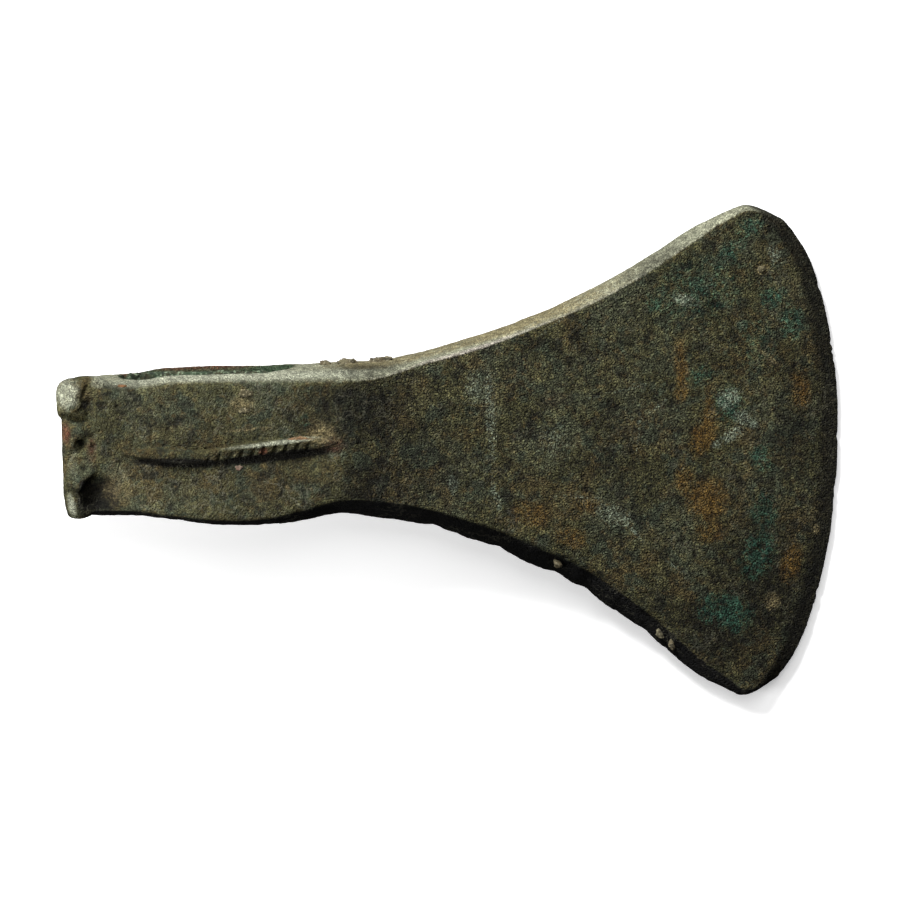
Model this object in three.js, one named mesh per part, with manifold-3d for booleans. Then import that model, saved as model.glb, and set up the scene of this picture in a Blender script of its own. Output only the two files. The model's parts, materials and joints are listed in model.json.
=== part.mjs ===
// Bronze shaft-hole axe head, long buried: one casting and the crusts that the ground left on it.
// Millimetres. X runs from the butt to the cutting edge, Y along the haft hole, Z out of the front cheek.
import * as THREE from 'three';
import { mergeVertices } from 'three/addons/utils/BufferGeometryUtils.js';
import Module from 'manifold-3d';

const wasm = await Module();
wasm.setup();

// Overall sizes of the casting
const axeLength = 160.8; // butt face to the middle of the cutting edge
const bladeRise = 50; // long axis to the crest of the upper corner
const bladeDrop = 52; // long axis to the crest of the lower corner
const socketThickness = 23; // across the two cheeks of the socket
const edgeThickness = 2; // across the cheeks where the whetted band starts
const edgeLip = 0.7; // the worn cutting edge itself
const edgeBevel = 4.5; // width of the whetted band
const upperBevel = 2.5; // how far the upper side stands above its arris
const lowerBevel = 4.5; // how far the lower side hangs below its arris
const cheekDish = 1.1; // depth of the hollow in the front cheek of the socket
const dishFromButt = 13.6; // where that hollow reaches its full depth
const dishRun = 6.8; // how it runs out before the blade
const neckDip = 0.75; // depth of the sweep in both cheeks where the socket runs into the blade
const buttRound = 3.4; // rounding of the butt's end, measured along the axe
const buttSetback = 2.2; // how far the battered lumps stand out past the end face

// The haft hole
const holeLength = 34.6;
const holeWidth = 14;
const holeFlat = 16; // straight stretch of each long wall
const holeFromButt = 30.4; // butt face to the middle of the hole

// The notched rib on the front cheek
const ribLength = 43.5;
const ribFromButt = 12.8; // butt face to the near end of the rib
const ribWidth = 3.7;
const ribHeight = 1.75;
const ribRoot = 0.9; // how deep its body reaches into the cheek
const notchCount = 11;
const notchDepth = 0.85;
const notchWidth = 1.1;

// Crusts
const restGap = 0.3; // between a crust and the bronze under it
const crustThickness = 0.6;
const crustReach = 3.6; // half the length of the largest crust patch
const liningThickness = 0.9;
const liningSetback = 1.2; // the lining stops this far inside each mouth of the hole
const overrun = 4; // how far a cutter passes through what it cuts

// Outline: share of the axe's length, crest heights, bevels, in shares of the sizes above
const stationShares = [
  { along: 0.035, upper: 0.312, lower: 0.227, upperBevel: 0.5, lowerBevel: 0.5 },
  { along: 0.055, upper: 0.322, lower: 0.231, upperBevel: 0.5, lowerBevel: 0.55 },
  { along: 0.1, upper: 0.334, lower: 0.236, upperBevel: 0.8, lowerBevel: 0.56 },
  { along: 0.14, upper: 0.361, lower: 0.258, upperBevel: 1, lowerBevel: 0.58 },
  { along: 0.2, upper: 0.366, lower: 0.284, upperBevel: 1, lowerBevel: 0.65 },
  { along: 0.255, upper: 0.365, lower: 0.29, upperBevel: 1, lowerBevel: 0.74 },
  { along: 0.31, upper: 0.361, lower: 0.262, upperBevel: 0.95, lowerBevel: 0.83 },
  { along: 0.355, upper: 0.371, lower: 0.237, upperBevel: 1.15, lowerBevel: 0.92 },
  { along: 0.405, upper: 0.376, lower: 0.258, upperBevel: 0.95, lowerBevel: 1.05 },
  { along: 0.46, upper: 0.404, lower: 0.288, upperBevel: 0.45, lowerBevel: 1 },
  { along: 0.51, upper: 0.448, lower: 0.327, upperBevel: 0.52, lowerBevel: 0.91 },
  { along: 0.56, upper: 0.5, lower: 0.388, upperBevel: 0.6, lowerBevel: 0.96 },
  { along: 0.61, upper: 0.56, lower: 0.463, upperBevel: 0.65, lowerBevel: 1.02 },
  { along: 0.665, upper: 0.638, lower: 0.55, upperBevel: 0.8, lowerBevel: 1.05 },
  { along: 0.715, upper: 0.72, lower: 0.654, upperBevel: 0.9, lowerBevel: 1.05 },
  { along: 0.765, upper: 0.818, lower: 0.773, upperBevel: 0.98, lowerBevel: 1.02 },
  { along: 0.815, upper: 0.92, lower: 0.903, upperBevel: 0.92, lowerBevel: 0.9 },
  { along: 0.855, upper: 0.98, lower: 0.969, upperBevel: 0.6, lowerBevel: 0.6 },
  { along: 0.88, upper: 1, lower: 1, upperBevel: 0.4, lowerBevel: 0.35 },
  { along: 0.922, upper: 0.946, lower: 0.938, upperBevel: 0.25, lowerBevel: 0.15 },
];
const rootShare = 0.36; // where the cheeks start to close towards the edge
const apexShare = 0.53; // height of the edge's foremost point between its two ends
const buttEndShare = 0.78; // size of the butt's end face beside the full section behind it
const buttEdgeShare = 0.9; // size of the section a quarter of the rounding in
const sagShares = [0.72, 0.28]; // how the cutting edge falls back from its foremost point
const neckShare = 0.43; // place of the sweep between socket and blade
const neckReachShare = 0.053;
const bowPower = 1.6; // how the sections grow bowed towards the edge
const stepsPerSpan = 2;
const cheekSteps = 8;
const holeSteps = 8; // facets of each rounded end of the hole
const quarterShare = 0.25; // a quarter of a turn
const turnGapShare = 0.0001; // keeps two ends of an outline apart where they meet
const sideStepShares = [0, 0.5, 0.85, 1]; // from the seam crest to the arris
const upperSidePower = 2.2; // roundness of the upper narrow side
const lowerSidePower = 1.6;

// Rib: its centre line above the long axis and its swelling, in shares of its length and size
const ribLineShares = [
  { along: 0, across: 0.035, size: 0.1 },
  { along: 0.12, across: 0.036, size: 0.75 },
  { along: 0.24, across: 0.024, size: 1.08 },
  { along: 0.37, across: 0.02, size: 0.92 },
  { along: 0.5, across: 0.036, size: 0.9 },
  { along: 0.62, across: 0.05, size: 1 },
  { along: 0.78, across: 0.06, size: 1 },
  { along: 0.92, across: 0.068, size: 0.8 },
  { along: 1, across: 0.073, size: 0.1 },
];
// Its profile from the lower foot to the upper foot, in shares of its width and height, and how much of a
// notch each point takes: the lower flank is fluted, the crest beside the upper edge hardly is
const ribProfileShares = [
  { across: -0.48, lift: 0, cut: 1 },
  { across: -0.4, lift: 0.5, cut: 1 },
  { across: -0.27, lift: 0.72, cut: 1 },
  { across: 0.02, lift: 0.86, cut: 0.8 },
  { across: 0.28, lift: 1, cut: 0.25 },
  { across: 0.38, lift: 0.8, cut: 0 },
  { across: 0.51, lift: 0, cut: 0 },
];
const notchStartShare = 0.39;
const notchEndShare = 0.91;
const notchSlantShare = 0.35; // how far the upper end of a notch leans towards the edge
const smoothRibSteps = 6;

// Lumps hammered up on the butt, and the hollows between them: across runs from the lower crest to the
// upper crest, and every other size is a share of the socket's thickness. A low power makes a square lump.
const buttLumpShares = [
  { along: 0.2, across: 0.5, out: 0.33, reach: 0.15, rise: 0.56, swell: 0.15, power: 0.36 },
  { along: 0.139, across: 0.894, out: 0.361, reach: 0.135, rise: 0.178, swell: 0.187, power: 0.66 },
  { along: 0.287, across: 0.978, out: 0.33, reach: 0.157, rise: 0.096, swell: 0.161, power: 0.66 },
  { along: 0.17, across: 0.599, out: 0.357, reach: 0.113, rise: 0.187, swell: 0.161, power: 0.66 },
  { along: 0.178, across: 0.336, out: 0.357, reach: 0.122, rise: 0.157, swell: 0.17, power: 0.66 },
  { along: 0.196, across: 0.142, out: 0.339, reach: 0.13, rise: 0.165, swell: 0.157, power: 0.66 },
];
const buttHollowShares = [
  { along: 0.291, across: 0.847, out: 0.561, reach: 0.039, rise: 0.148, swell: 0.096, power: 0.66 },
  { along: 0.217, across: 0.755, out: 0.565, reach: 0.139, rise: 0.035, swell: 0.117, power: 0.66 },
  { along: 0.226, across: 0.54, out: 0.565, reach: 0.061, rise: 0.07, swell: 0.1, power: 0.66 },
  { along: 0.213, across: 0.456, out: 0.561, reach: 0.087, rise: 0.026, swell: 0.087, power: 0.66 },
  { along: 0.365, across: 0.19, out: 0.583, reach: 0.174, rise: 0.191, swell: 0.17, power: 0.66 },
];
const blobTurns = 12;
const blobRows = 7;

// Crust pads: their rings from the bronze outwards, and how much their outlines waver
const crustRingShares = [{ spread: 0.92, lift: 0 }, { spread: 1, lift: 0.35 }, { spread: 0.7, lift: 1 }];
const waverShares = [0.14, 0.08];
const crustPoints = 12;
const liningStartShare = 0.56; // shares of a turn between which the lining follows the hole's far wall
const liningEndShare = 0.94;

const clamp = THREE.MathUtils.clamp;
const smooth = (value, start, end) => THREE.MathUtils.smoothstep(value, start, end);

// Value of one column between two rows of a table, as a smooth curve through all rows
function columnAt(rows, column, along) {
  const last = rows.length - 1;
  let span = 0;
  while (span < last - 1 && along > rows[span + 1].along) {
    span += 1;
  }
  const [before, start, end, after] = [span - 1, span, span + 1, span + 2]
    .map((index) => rows[clamp(index, 0, last)]);
  const width = end.along - start.along;
  const share = clamp((along - start.along) / width, 0, 1);
  const slopeOf = (first, second) => (
    second.along === first.along ? 0 : (second[column] - first[column]) / (second.along - first.along)
  );
  const startSlope = slopeOf(before, end) * width;
  const endSlope = slopeOf(start, after) * width;
  const square = share * share;
  const cube = square * share;
  return start[column] * (2 * cube - 3 * square + 1) + startSlope * (cube - 2 * square + share)
    + end[column] * (3 * square - 2 * cube) + endSlope * (cube - square);
}

// Half the thickness between the cheeks, at a distance from the butt
const rootAt = rootShare * axeLength;
const cheekSlope = (socketThickness - edgeThickness) / 2 / (axeLength - edgeBevel - rootAt);
function halfThickness(x) {
  const sweep = neckDip * Math.exp(-(((x / axeLength - neckShare) / neckReachShare) ** 2));
  return socketThickness / 2 - Math.max(0, x - rootAt) * cheekSlope - sweep;
}

// Crest heights and arris heights of the outline, at a distance from the butt
const upperCrest = (x) => columnAt(stationShares, 'upper', x / axeLength) * bladeRise;
const lowerCrest = (x) => -columnAt(stationShares, 'lower', x / axeLength) * bladeDrop;
const upperArris = (x) => upperCrest(x) - columnAt(stationShares, 'upperBevel', x / axeLength) * upperBevel;
const lowerArris = (x) => lowerCrest(x) + columnAt(stationShares, 'lowerBevel', x / axeLength) * lowerBevel;

// Hollow of the front cheek of the socket, deepest along its middle
function dishAt(x, y) {
  const middle = (upperArris(x) + lowerArris(x)) / 2;
  const across = clamp((y - middle) / (upperArris(x) - middle), -1, 1);
  const end = rootAt - across * across * dishRun;
  const alongShare = smooth(x, buttRound, dishFromButt) * smooth(end - x, 0, dishRun);
  return cheekDish * alongShare * (1 - across * across) ** 2;
}
const frontCheek = (x, y) => halfThickness(x) - dishAt(x, y);

// One cross-section of the casting: front half from the lower crest to the upper crest, then the back half
const lastShares = stationShares[stationShares.length - 1];
const bevelShares = stationShares[stationShares.length - 2];
function tipOf(endShare) {
  const bevelTip = axeLength - edgeBevel;
  if (endShare > bevelShares.along) {
    const share = (endShare - bevelShares.along) / (lastShares.along - bevelShares.along);
    return THREE.MathUtils.lerp(bevelTip, axeLength, share);
  }
  const share = Math.max(0, endShare - rootShare) / (bevelShares.along - rootShare);
  return endShare * axeLength + (bevelTip - bevelShares.along * axeLength) * share ** bowPower;
}

function sectionAt(endShare, sizeShare, at) {
  const end = endShare * axeLength;
  const tip = tipOf(endShare);
  const heights = [lowerCrest(end), lowerArris(end), upperArris(end), upperCrest(end)]
    .map((height) => height * sizeShare);
  const [lowCrest, lowArris, highArris, highCrest] = heights;
  const apex = THREE.MathUtils.lerp(lowCrest, highCrest, apexShare);
  const whetShare = smooth(endShare, bevelShares.along, lastShares.along);

  const placeAt = (height, outShare, face) => {
    const away = height > apex ? (height - apex) / (highCrest - apex) : (apex - height) / (apex - lowCrest);
    const sag = (tip - end) * (sagShares[0] * away ** 2 + sagShares[1] * away ** 8);
    const x = at + (tip - end) - sag;
    const cheek = face > 0 ? frontCheek(x, height) : halfThickness(x);
    const out = THREE.MathUtils.lerp(cheek, edgeLip / 2, whetShare) * sizeShare;
    return new THREE.Vector3(x, height, face * out * outShare);
  };

  const rim = (face) => {
    const points = [];
    for (const share of sideStepShares) {
      points.push(placeAt(THREE.MathUtils.lerp(lowCrest, lowArris, share ** lowerSidePower), share, face));
    }
    for (let step = 1; step < cheekSteps; step += 1) {
      points.push(placeAt(THREE.MathUtils.lerp(lowArris, highArris, step / cheekSteps), 1, face));
    }
    for (const share of [...sideStepShares].reverse()) {
      points.push(placeAt(THREE.MathUtils.lerp(highCrest, highArris, share ** upperSidePower), share, face));
    }
    return points;
  };

  const front = rim(1);
  const back = rim(-1).slice(1, -1).reverse();
  return [...front, ...back];
}

// Closed skin over a list of rings, with quads between them
function skinFaces(rings) {
  const size = rings[0].length;
  const faces = [];
  for (let ring = 0; ring < rings.length - 1; ring += 1) {
    for (let step = 0; step < size; step += 1) {
      const here = ring * size + step;
      const beside = ring * size + ((step + 1) % size);
      faces.push([here, here + size, beside + size], [here, beside + size, beside]);
    }
  }
  return faces;
}

// A fan closes the first ring, or the last one when it is turned over
function fanFaces(points, base, size, turned) {
  const hub = new THREE.Vector3();
  for (let step = 0; step < size; step += 1) {
    hub.addScaledVector(points[base + step], 1 / size);
  }
  const hubIndex = points.push(hub) - 1;
  const faces = [];
  for (let step = 0; step < size; step += 1) {
    const [here, beside] = [base + step, base + ((step + 1) % size)];
    faces.push(turned ? [hubIndex, beside, here] : [hubIndex, here, beside]);
  }
  return faces;
}

// A strip closes the cutting edge, from each point of the front to its match on the back
function stripFaces(base, size) {
  const faces = [];
  for (let step = 0; step < size / 2; step += 1) {
    const [frontHere, frontNext] = [base + step, base + step + 1];
    const [backHere, backNext] = [base + ((size - step) % size), base + size - step - 1];
    if (backHere !== frontHere) {
      faces.push([frontHere, backHere, backNext]);
    }
    if (backNext !== frontNext) {
      faces.push([frontHere, backNext, frontNext]);
    }
  }
  return faces;
}

function geometryOf(points, faces) {
  const geometry = new THREE.BufferGeometry();
  const places = points.flatMap((point) => point.toArray());
  geometry.setAttribute('position', new THREE.Float32BufferAttribute(places, 3));
  geometry.setIndex(faces.flat());
  return geometry;
}

function tubeGeometry(rings) {
  const points = rings.flat();
  const size = rings[0].length;
  const last = points.length - size;
  const faces = skinFaces(rings);
  faces.push(...fanFaces(points, 0, size, false), ...fanFaces(points, last, size, true));
  return geometryOf(points, faces);
}

// Booleans: a closed geometry becomes a solid, and a solid becomes a geometry again
function solidOf(geometry) {
  const bare = geometry.clone();
  bare.deleteAttribute('normal');
  bare.deleteAttribute('uv');
  const merged = mergeVertices(bare);
  return new wasm.Manifold(new wasm.Mesh({
    numProp: 3,
    vertProperties: new Float32Array(merged.attributes.position.array),
    triVerts: new Uint32Array(merged.index.array),
  }));
}

function geometryOfSolid(solid) {
  const mesh = solid.getMesh();
  const geometry = new THREE.BufferGeometry();
  geometry.setAttribute('position', new THREE.BufferAttribute(new Float32Array(mesh.vertProperties), 3));
  geometry.setIndex(new THREE.BufferAttribute(new Uint32Array(mesh.triVerts), 1));
  return geometry;
}

// Body of the casting, before its hole, rib and battered butt
function bodyGeometry() {
  const first = stationShares[0].along;
  const rings = [
    sectionAt(first, buttEndShare, buttSetback),
    sectionAt(first, buttEdgeShare, buttSetback + buttRound / 4),
  ];
  for (let span = 0; span < stationShares.length - 1; span += 1) {
    for (let step = 0; step < stepsPerSpan; step += 1) {
      const [start, end] = [stationShares[span].along, stationShares[span + 1].along];
      const share = THREE.MathUtils.lerp(start, end, step / stepsPerSpan);
      rings.push(sectionAt(share, 1, share * axeLength));
    }
  }
  rings.push(sectionAt(lastShares.along, 1, lastShares.along * axeLength));
  const points = rings.flat();
  const size = rings[0].length;
  const faces = [...skinFaces(rings), ...stripFaces(points.length - size, size)];
  faces.push(...fanFaces(points, 0, size, false));
  return geometryOf(points, faces);
}

// Outline of the haft hole seen along Y, set in from its wall: two flats with a half ellipse at each end
function holeOutline(inset, startTurn, endTurn) {
  const flatHalf = holeFlat / 2;
  const points = [];
  for (let step = 0; step <= holeSteps; step += 1) {
    const angle = THREE.MathUtils.lerp(startTurn, endTurn, step / holeSteps) * Math.PI * 2;
    const end = Math.cos(angle) >= 0 ? 1 : -1;
    const along = end * flatHalf + (holeLength / 2 - flatHalf - inset) * Math.cos(angle);
    points.push(new THREE.Vector2(along, (holeWidth / 2 - inset) * Math.sin(angle)));
  }
  return points;
}

function alongHole(shape, top, bottom) {
  const geometry = new THREE.ExtrudeGeometry(shape, { depth: top - bottom, bevelEnabled: false });
  geometry.rotateX(Math.PI / 2);
  geometry.translate(holeFromButt, top, 0);
  return geometry;
}

function holeCutter() {
  const [end, start] = [quarterShare - turnGapShare, quarterShare + turnGapShare];
  const outline = [...holeOutline(0, -end, end), ...holeOutline(0, start, 2 * quarterShare + end)];
  const top = upperCrest(holeFromButt) + overrun;
  const bottom = lowerCrest(holeFromButt) - overrun;
  return alongHole(new THREE.Shape(outline), top, bottom);
}

// Rib on the front cheek: a tapering ridge, cut by slanted notches along its far part
function ribGeometry() {
  const stops = [];
  for (let step = 0; step < smoothRibSteps; step += 1) {
    stops.push({ share: notchStartShare * (step / smoothRibSteps), size: 1 });
  }
  const halfNotchShare = notchWidth / ribLength / 2;
  for (let notch = 0; notch < notchCount; notch += 1) {
    const share = THREE.MathUtils.lerp(notchStartShare, notchEndShare, (notch + 0.5) / notchCount);
    stops.push({ share: share - halfNotchShare, size: 1 });
    stops.push({ share, size: 1 - notchDepth / ribHeight });
    stops.push({ share: share + halfNotchShare, size: 1 });
  }
  stops.push({ share: (notchEndShare + 1) / 2, size: 1 }, { share: 1, size: 1 });
  const rings = stops.map(({ share, size }) => {
    const x = ribFromButt + share * ribLength;
    const y = columnAt(ribLineShares, 'across', share) * bladeRise;
    const swell = columnAt(ribLineShares, 'size', share);
    const pointAt = (across, lift) => new THREE.Vector3(
      x + across * ribWidth * swell * notchSlantShare,
      y + across * ribWidth * swell,
      frontCheek(x, y) + lift,
    );
    const ring = ribProfileShares.map(({ across, lift, cut }) => (
      pointAt(across, lift * ribHeight * swell * (1 - (1 - size) * cut))
    ));
    const [lowerFoot, upperFoot] = [ribProfileShares[0], ribProfileShares[ribProfileShares.length - 1]];
    ring.push(pointAt(upperFoot.across, -ribRoot), pointAt(lowerFoot.across, -ribRoot));
    return ring;
  });
  return tubeGeometry(rings);
}

// Lumps and hollows of the battered butt
function buttBlob({ along, across, out, reach, rise, swell, power }) {
  const geometry = new THREE.SphereGeometry(1, blobTurns, blobRows);
  const places = geometry.attributes.position;
  const squared = (value) => Math.sign(value) * Math.abs(value) ** power;
  for (let index = 0; index < places.count; index += 1) {
    places.setXYZ(index, ...[places.getX(index), places.getY(index), places.getZ(index)].map(squared));
  }
  geometry.scale(reach * socketThickness, rise * socketThickness, swell * socketThickness);
  const x = along * socketThickness;
  const y = THREE.MathUtils.lerp(lowerCrest(buttRound), upperCrest(buttRound), across);
  geometry.translate(x, y, out * socketThickness);
  return solidOf(geometry);
}

function castingGeometry() {
  let solid = solidOf(bodyGeometry()).subtract(solidOf(holeCutter()));
  for (const lump of buttLumpShares) {
    solid = solid.add(buttBlob(lump));
  }
  for (const hollow of buttHollowShares) {
    solid = solid.subtract(buttBlob(hollow));
  }
  return geometryOfSolid(solid.add(solidOf(ribGeometry())));
}

// Green lining on the far wall of the haft hole
function liningGeometry() {
  const outer = holeOutline(restGap, liningStartShare, liningEndShare);
  const inner = holeOutline(restGap + liningThickness, liningStartShare, liningEndShare);
  const shape = new THREE.Shape([...outer, ...inner.reverse()]);
  const top = sideHeight('upper', holeFromButt, holeWidth / 2) - liningSetback;
  const bottom = sideHeight('lower', holeFromButt, holeWidth / 2) + liningSetback;
  return alongHole(shape, top, bottom);
}

// Height of a narrow side of the casting, at a distance from the mid-plane
function sideHeight(side, x, z) {
  const share = clamp(Math.abs(z) / halfThickness(x), 0, 1);
  return side === 'upper'
    ? THREE.MathUtils.lerp(upperCrest(x), upperArris(x), share ** upperSidePower)
    : THREE.MathUtils.lerp(lowerCrest(x), lowerArris(x), share ** lowerSidePower);
}

// The surfaces that a crust can sit on, by two coordinates of the casting. Their two directions turn the
// way out of the bronze, or the way into it where turn is -1.
const surfaces = {
  front: { turn: 1, at: (x, y) => new THREE.Vector3(x, y, frontCheek(x, y)) },
  upper: { turn: -1, at: (x, z) => new THREE.Vector3(x, sideHeight('upper', x, z), z) },
  lower: { turn: 1, at: (x, z) => new THREE.Vector3(x, sideHeight('lower', x, z), z) },
  butt: { turn: -1, at: (y, z) => new THREE.Vector3(buttSetback, y, z) },
};

function offSurface({ turn, at }, first, second, height) {
  const point = at(first, second);
  const alongFirst = at(first + restGap, second).sub(point);
  const alongSecond = at(first, second + restGap).sub(point);
  const out = alongFirst.cross(alongSecond).normalize().multiplyScalar(turn);
  return point.addScaledVector(out, height);
}

// Middle of a crust on its surface, from its shares
function crustMiddle({ surface, along, across }) {
  const x = along * axeLength;
  if (surface === 'butt') {
    const y = THREE.MathUtils.lerp(lowerCrest(buttRound), upperCrest(buttRound), across);
    return [y, along * socketThickness];
  }
  if (surface === 'front') {
    return [x, across > 0 ? across * upperCrest(x) : -across * lowerCrest(x)];
  }
  return [x, across * halfThickness(x)];
}

// One crust: a low pad with a wavering outline, kept off the bronze by the rest gap
function crustGeometry(crust) {
  const surface = surfaces[crust.surface];
  const [first, second] = crustMiddle(crust);
  const ringOf = ({ spread, lift }) => {
    const ring = [];
    for (let step = 0; step < crustPoints; step += 1) {
      const angle = -surface.turn * (step / crustPoints) * Math.PI * 2;
      const waves = 1 + waverShares[0] * Math.sin(3 * angle + crust.waver)
        + waverShares[1] * Math.sin(5 * angle + crust.waver * 2);
      const alongOffset = Math.cos(angle) * crust.reach * crustReach * waves * spread;
      const acrossOffset = Math.sin(angle) * crust.breadth * crustReach * waves * spread;
      const height = restGap + lift * crustThickness;
      ring.push(offSurface(surface, first + alongOffset, second + acrossOffset, height));
    }
    return ring;
  };
  return tubeGeometry(crustRingShares.map(ringOf));
}

// Crusts by name. Across is a share of the crest's height on the front cheek and of the half thickness on a
// narrow side; reach and breadth are shares of the longest crust.
const crustShares = [
  { name: 'seam_flake_1', surface: 'upper', along: 0.338, across: 0.12,
    reach: 0.34, breadth: 0.26, waver: 0.4 },
  { name: 'seam_flake_2', surface: 'upper', along: 0.366, across: 0.13,
    reach: 0.6, breadth: 0.3, waver: 1.3 },
  { name: 'seam_flake_3', surface: 'upper', along: 0.407, across: 0.12,
    reach: 0.72, breadth: 0.28, waver: 2.2 },
  { name: 'arris_spot', surface: 'upper', along: 0.082, across: 0.8,
    reach: 0.3, breadth: 0.2, waver: 0.9 },
  { name: 'rib_end_crust', surface: 'front', along: 0.3035, across: 0.34,
    reach: 0.95, breadth: 0.2, waver: 2.9 },
  { name: 'rib_crumb', surface: 'front', along: 0.226, across: -0.09,
    reach: 0.24, breadth: 0.18, waver: 0.3 },
  { name: 'cheek_crust_upper', surface: 'front', along: 0.235, across: 0.75,
    reach: 0.46, breadth: 0.28, waver: 1.9 },
  { name: 'cheek_crust_lower', surface: 'front', along: 0.233, across: 0.56,
    reach: 0.42, breadth: 0.18, waver: 2.6 },
  { name: 'blade_tan_spot', surface: 'front', along: 0.895, across: 0.75,
    reach: 0.28, breadth: 0.24, waver: 1.1 },
  { name: 'side_earth_1', surface: 'lower', along: 0.6325, across: 0.7,
    reach: 0.24, breadth: 0.18, waver: 0.7 },
  { name: 'side_earth_2', surface: 'lower', along: 0.767, across: 0.6,
    reach: 0.22, breadth: 0.16, waver: 1.6 },
  { name: 'side_earth_3', surface: 'lower', along: 0.784, across: 0.55,
    reach: 0.2, breadth: 0.16, waver: 2.4 },
  { name: 'butt_earth', surface: 'butt', along: 0.04, across: 0.42,
    reach: 0.75, breadth: 0.6, waver: 0.2 },
];

// Finishes: the bronze's dark olive patina, the malachite of the lining and the earths of the crusts
const patina = new THREE.MeshStandardMaterial({ color: '#3d3c2a', roughness: 0.72, metalness: 0.35 });
const malachite = new THREE.MeshStandardMaterial({ color: '#64664e', roughness: 0.95, metalness: 0 });
const brownEarth = new THREE.MeshStandardMaterial({ color: '#4a3526', roughness: 0.95, metalness: 0 });
const paleCrust = new THREE.MeshStandardMaterial({ color: '#8d7c5c', roughness: 0.95, metalness: 0 });
const finishes = {
  seam_flake_1: brownEarth,
  seam_flake_2: brownEarth,
  seam_flake_3: brownEarth,
  butt_earth: brownEarth,
};

const axe = new THREE.Group();
axe.rotation.y = Math.atan(cheekSlope);

function addPiece(name, geometry, material) {
  const mesh = new THREE.Mesh(geometry, material);
  mesh.name = name;
  axe.add(mesh);
}

addPiece('bronze_casting', castingGeometry(), patina);
addPiece('hole_wall_crust', liningGeometry(), malachite);
for (const crust of crustShares) {
  addPiece(crust.name, crustGeometry(crust), finishes[crust.name] ?? paleCrust);
}

// The axe lies on the flat back of its blade, over the origin
const model = new THREE.Group();
model.add(axe);
model.updateMatrixWorld(true);
const bounds = new THREE.Box3().setFromObject(axe, true);
const middle = bounds.getCenter(new THREE.Vector3());
axe.position.set(-middle.x, -middle.y, -bounds.min.z);

export default model;
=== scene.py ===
"""Looks of the bronze shaft-hole axe head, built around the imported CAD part.

The casting is lofted again from the part's own sizes at a finer pitch. Its haft hole is cut, its notched rib
and battered butt are added, and its corroded skin is raised as real relief. Every crust that the ground left
stands on the bronze where its CAD node lies.
"""

import sys

import json
import logging
import math
from dataclasses import dataclass, field
from enum import Enum

import bmesh
import bpy
import numpy as np
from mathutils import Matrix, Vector, noise

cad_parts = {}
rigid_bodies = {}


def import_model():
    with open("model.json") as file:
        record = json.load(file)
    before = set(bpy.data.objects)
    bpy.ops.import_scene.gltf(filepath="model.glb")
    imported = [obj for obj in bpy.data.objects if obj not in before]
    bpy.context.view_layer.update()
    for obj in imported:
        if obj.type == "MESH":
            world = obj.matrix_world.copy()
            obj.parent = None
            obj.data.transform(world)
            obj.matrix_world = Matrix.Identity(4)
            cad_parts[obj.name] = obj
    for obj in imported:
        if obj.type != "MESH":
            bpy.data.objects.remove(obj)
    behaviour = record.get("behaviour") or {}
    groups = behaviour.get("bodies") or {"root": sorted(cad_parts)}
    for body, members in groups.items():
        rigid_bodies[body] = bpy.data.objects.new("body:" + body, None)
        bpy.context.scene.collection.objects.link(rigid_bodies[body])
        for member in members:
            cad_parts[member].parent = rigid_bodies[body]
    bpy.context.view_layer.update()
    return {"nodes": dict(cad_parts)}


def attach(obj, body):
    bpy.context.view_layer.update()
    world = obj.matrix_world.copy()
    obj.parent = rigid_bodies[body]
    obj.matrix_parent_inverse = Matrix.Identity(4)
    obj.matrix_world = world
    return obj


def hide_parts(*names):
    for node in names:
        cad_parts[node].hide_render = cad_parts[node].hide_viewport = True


LOG = logging.getLogger("bronze_axe_head")
MM = 0.001
ROOT_BODY = "root"


def linear_colour(hex_code: str) -> tuple[float, float, float, float]:
    """Turns an sRGB hex value to the linear colour that a shader takes.

    Args:
        hex_code: Six hex digits after a hash sign.

    Returns:
        Linear red, green and blue, and an alpha of one.
    """
    channels = [int(hex_code[start:start + 2], 16) / 255 for start in (1, 3, 5)]
    linear = [c / 12.92 if c <= 0.04045 else ((c + 0.055) / 1.055) ** 2.4 for c in channels]
    return (linear[0], linear[1], linear[2], 1.0)


def add_node(tree: bpy.types.NodeTree, kind: str, settings: dict | None = None,
             inputs: dict | None = None) -> bpy.types.Node:
    """Adds one node to a tree with its settings, its input values and its links.

    Args:
        tree: The node tree that gets the node.
        kind: Blender's identifier of the node type.
        settings: Properties of the node by name.
        inputs: Input sockets by name or place. An output socket is linked, anything else is a value.

    Returns:
        The new node.
    """
    node = tree.nodes.new(kind)
    for name, value in (settings or {}).items():
        setattr(node, name, value)
    for key, value in (inputs or {}).items():
        if isinstance(value, bpy.types.NodeSocket):
            tree.links.new(value, node.inputs[key])
        else:
            node.inputs[key].default_value = value
    return node


def add_inputs(tree: bpy.types.NodeTree, values: dict[str, float | int]) -> dict[str, str]:
    """Args:
        tree: The geometry node tree.
        values: Each input's default value by its name; whole numbers make integer inputs.

    Returns:
        The identifier of each input's socket by its name.
    """
    tree.interface.new_socket("Geometry", in_out="INPUT", socket_type="NodeSocketGeometry")
    tree.interface.new_socket("Geometry", in_out="OUTPUT", socket_type="NodeSocketGeometry")
    identifiers = {}
    for name, value in values.items():
        kind = "NodeSocketInt" if isinstance(value, int) else "NodeSocketFloat"
        item = tree.interface.new_socket(name, in_out="INPUT", socket_type=kind)
        item.default_value = value
        identifiers[name] = item.identifier
    return identifiers


def open_tree(name: str, values: dict[str, float | int]
              ) -> tuple[bpy.types.NodeTree, dict[str, str], bpy.types.NodeOutputs]:
    """Starts a geometry tree with its named inputs.

    Args:
        name: Name of the tree.
        values: Each input's default value by its name.

    Returns:
        The tree, the identifiers of its inputs by name, and the sockets that give them.
    """
    tree = bpy.data.node_groups.new(name, "GeometryNodeTree")
    identifiers = add_inputs(tree, values)
    return tree, identifiers, add_node(tree, "NodeGroupInput").outputs


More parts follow.
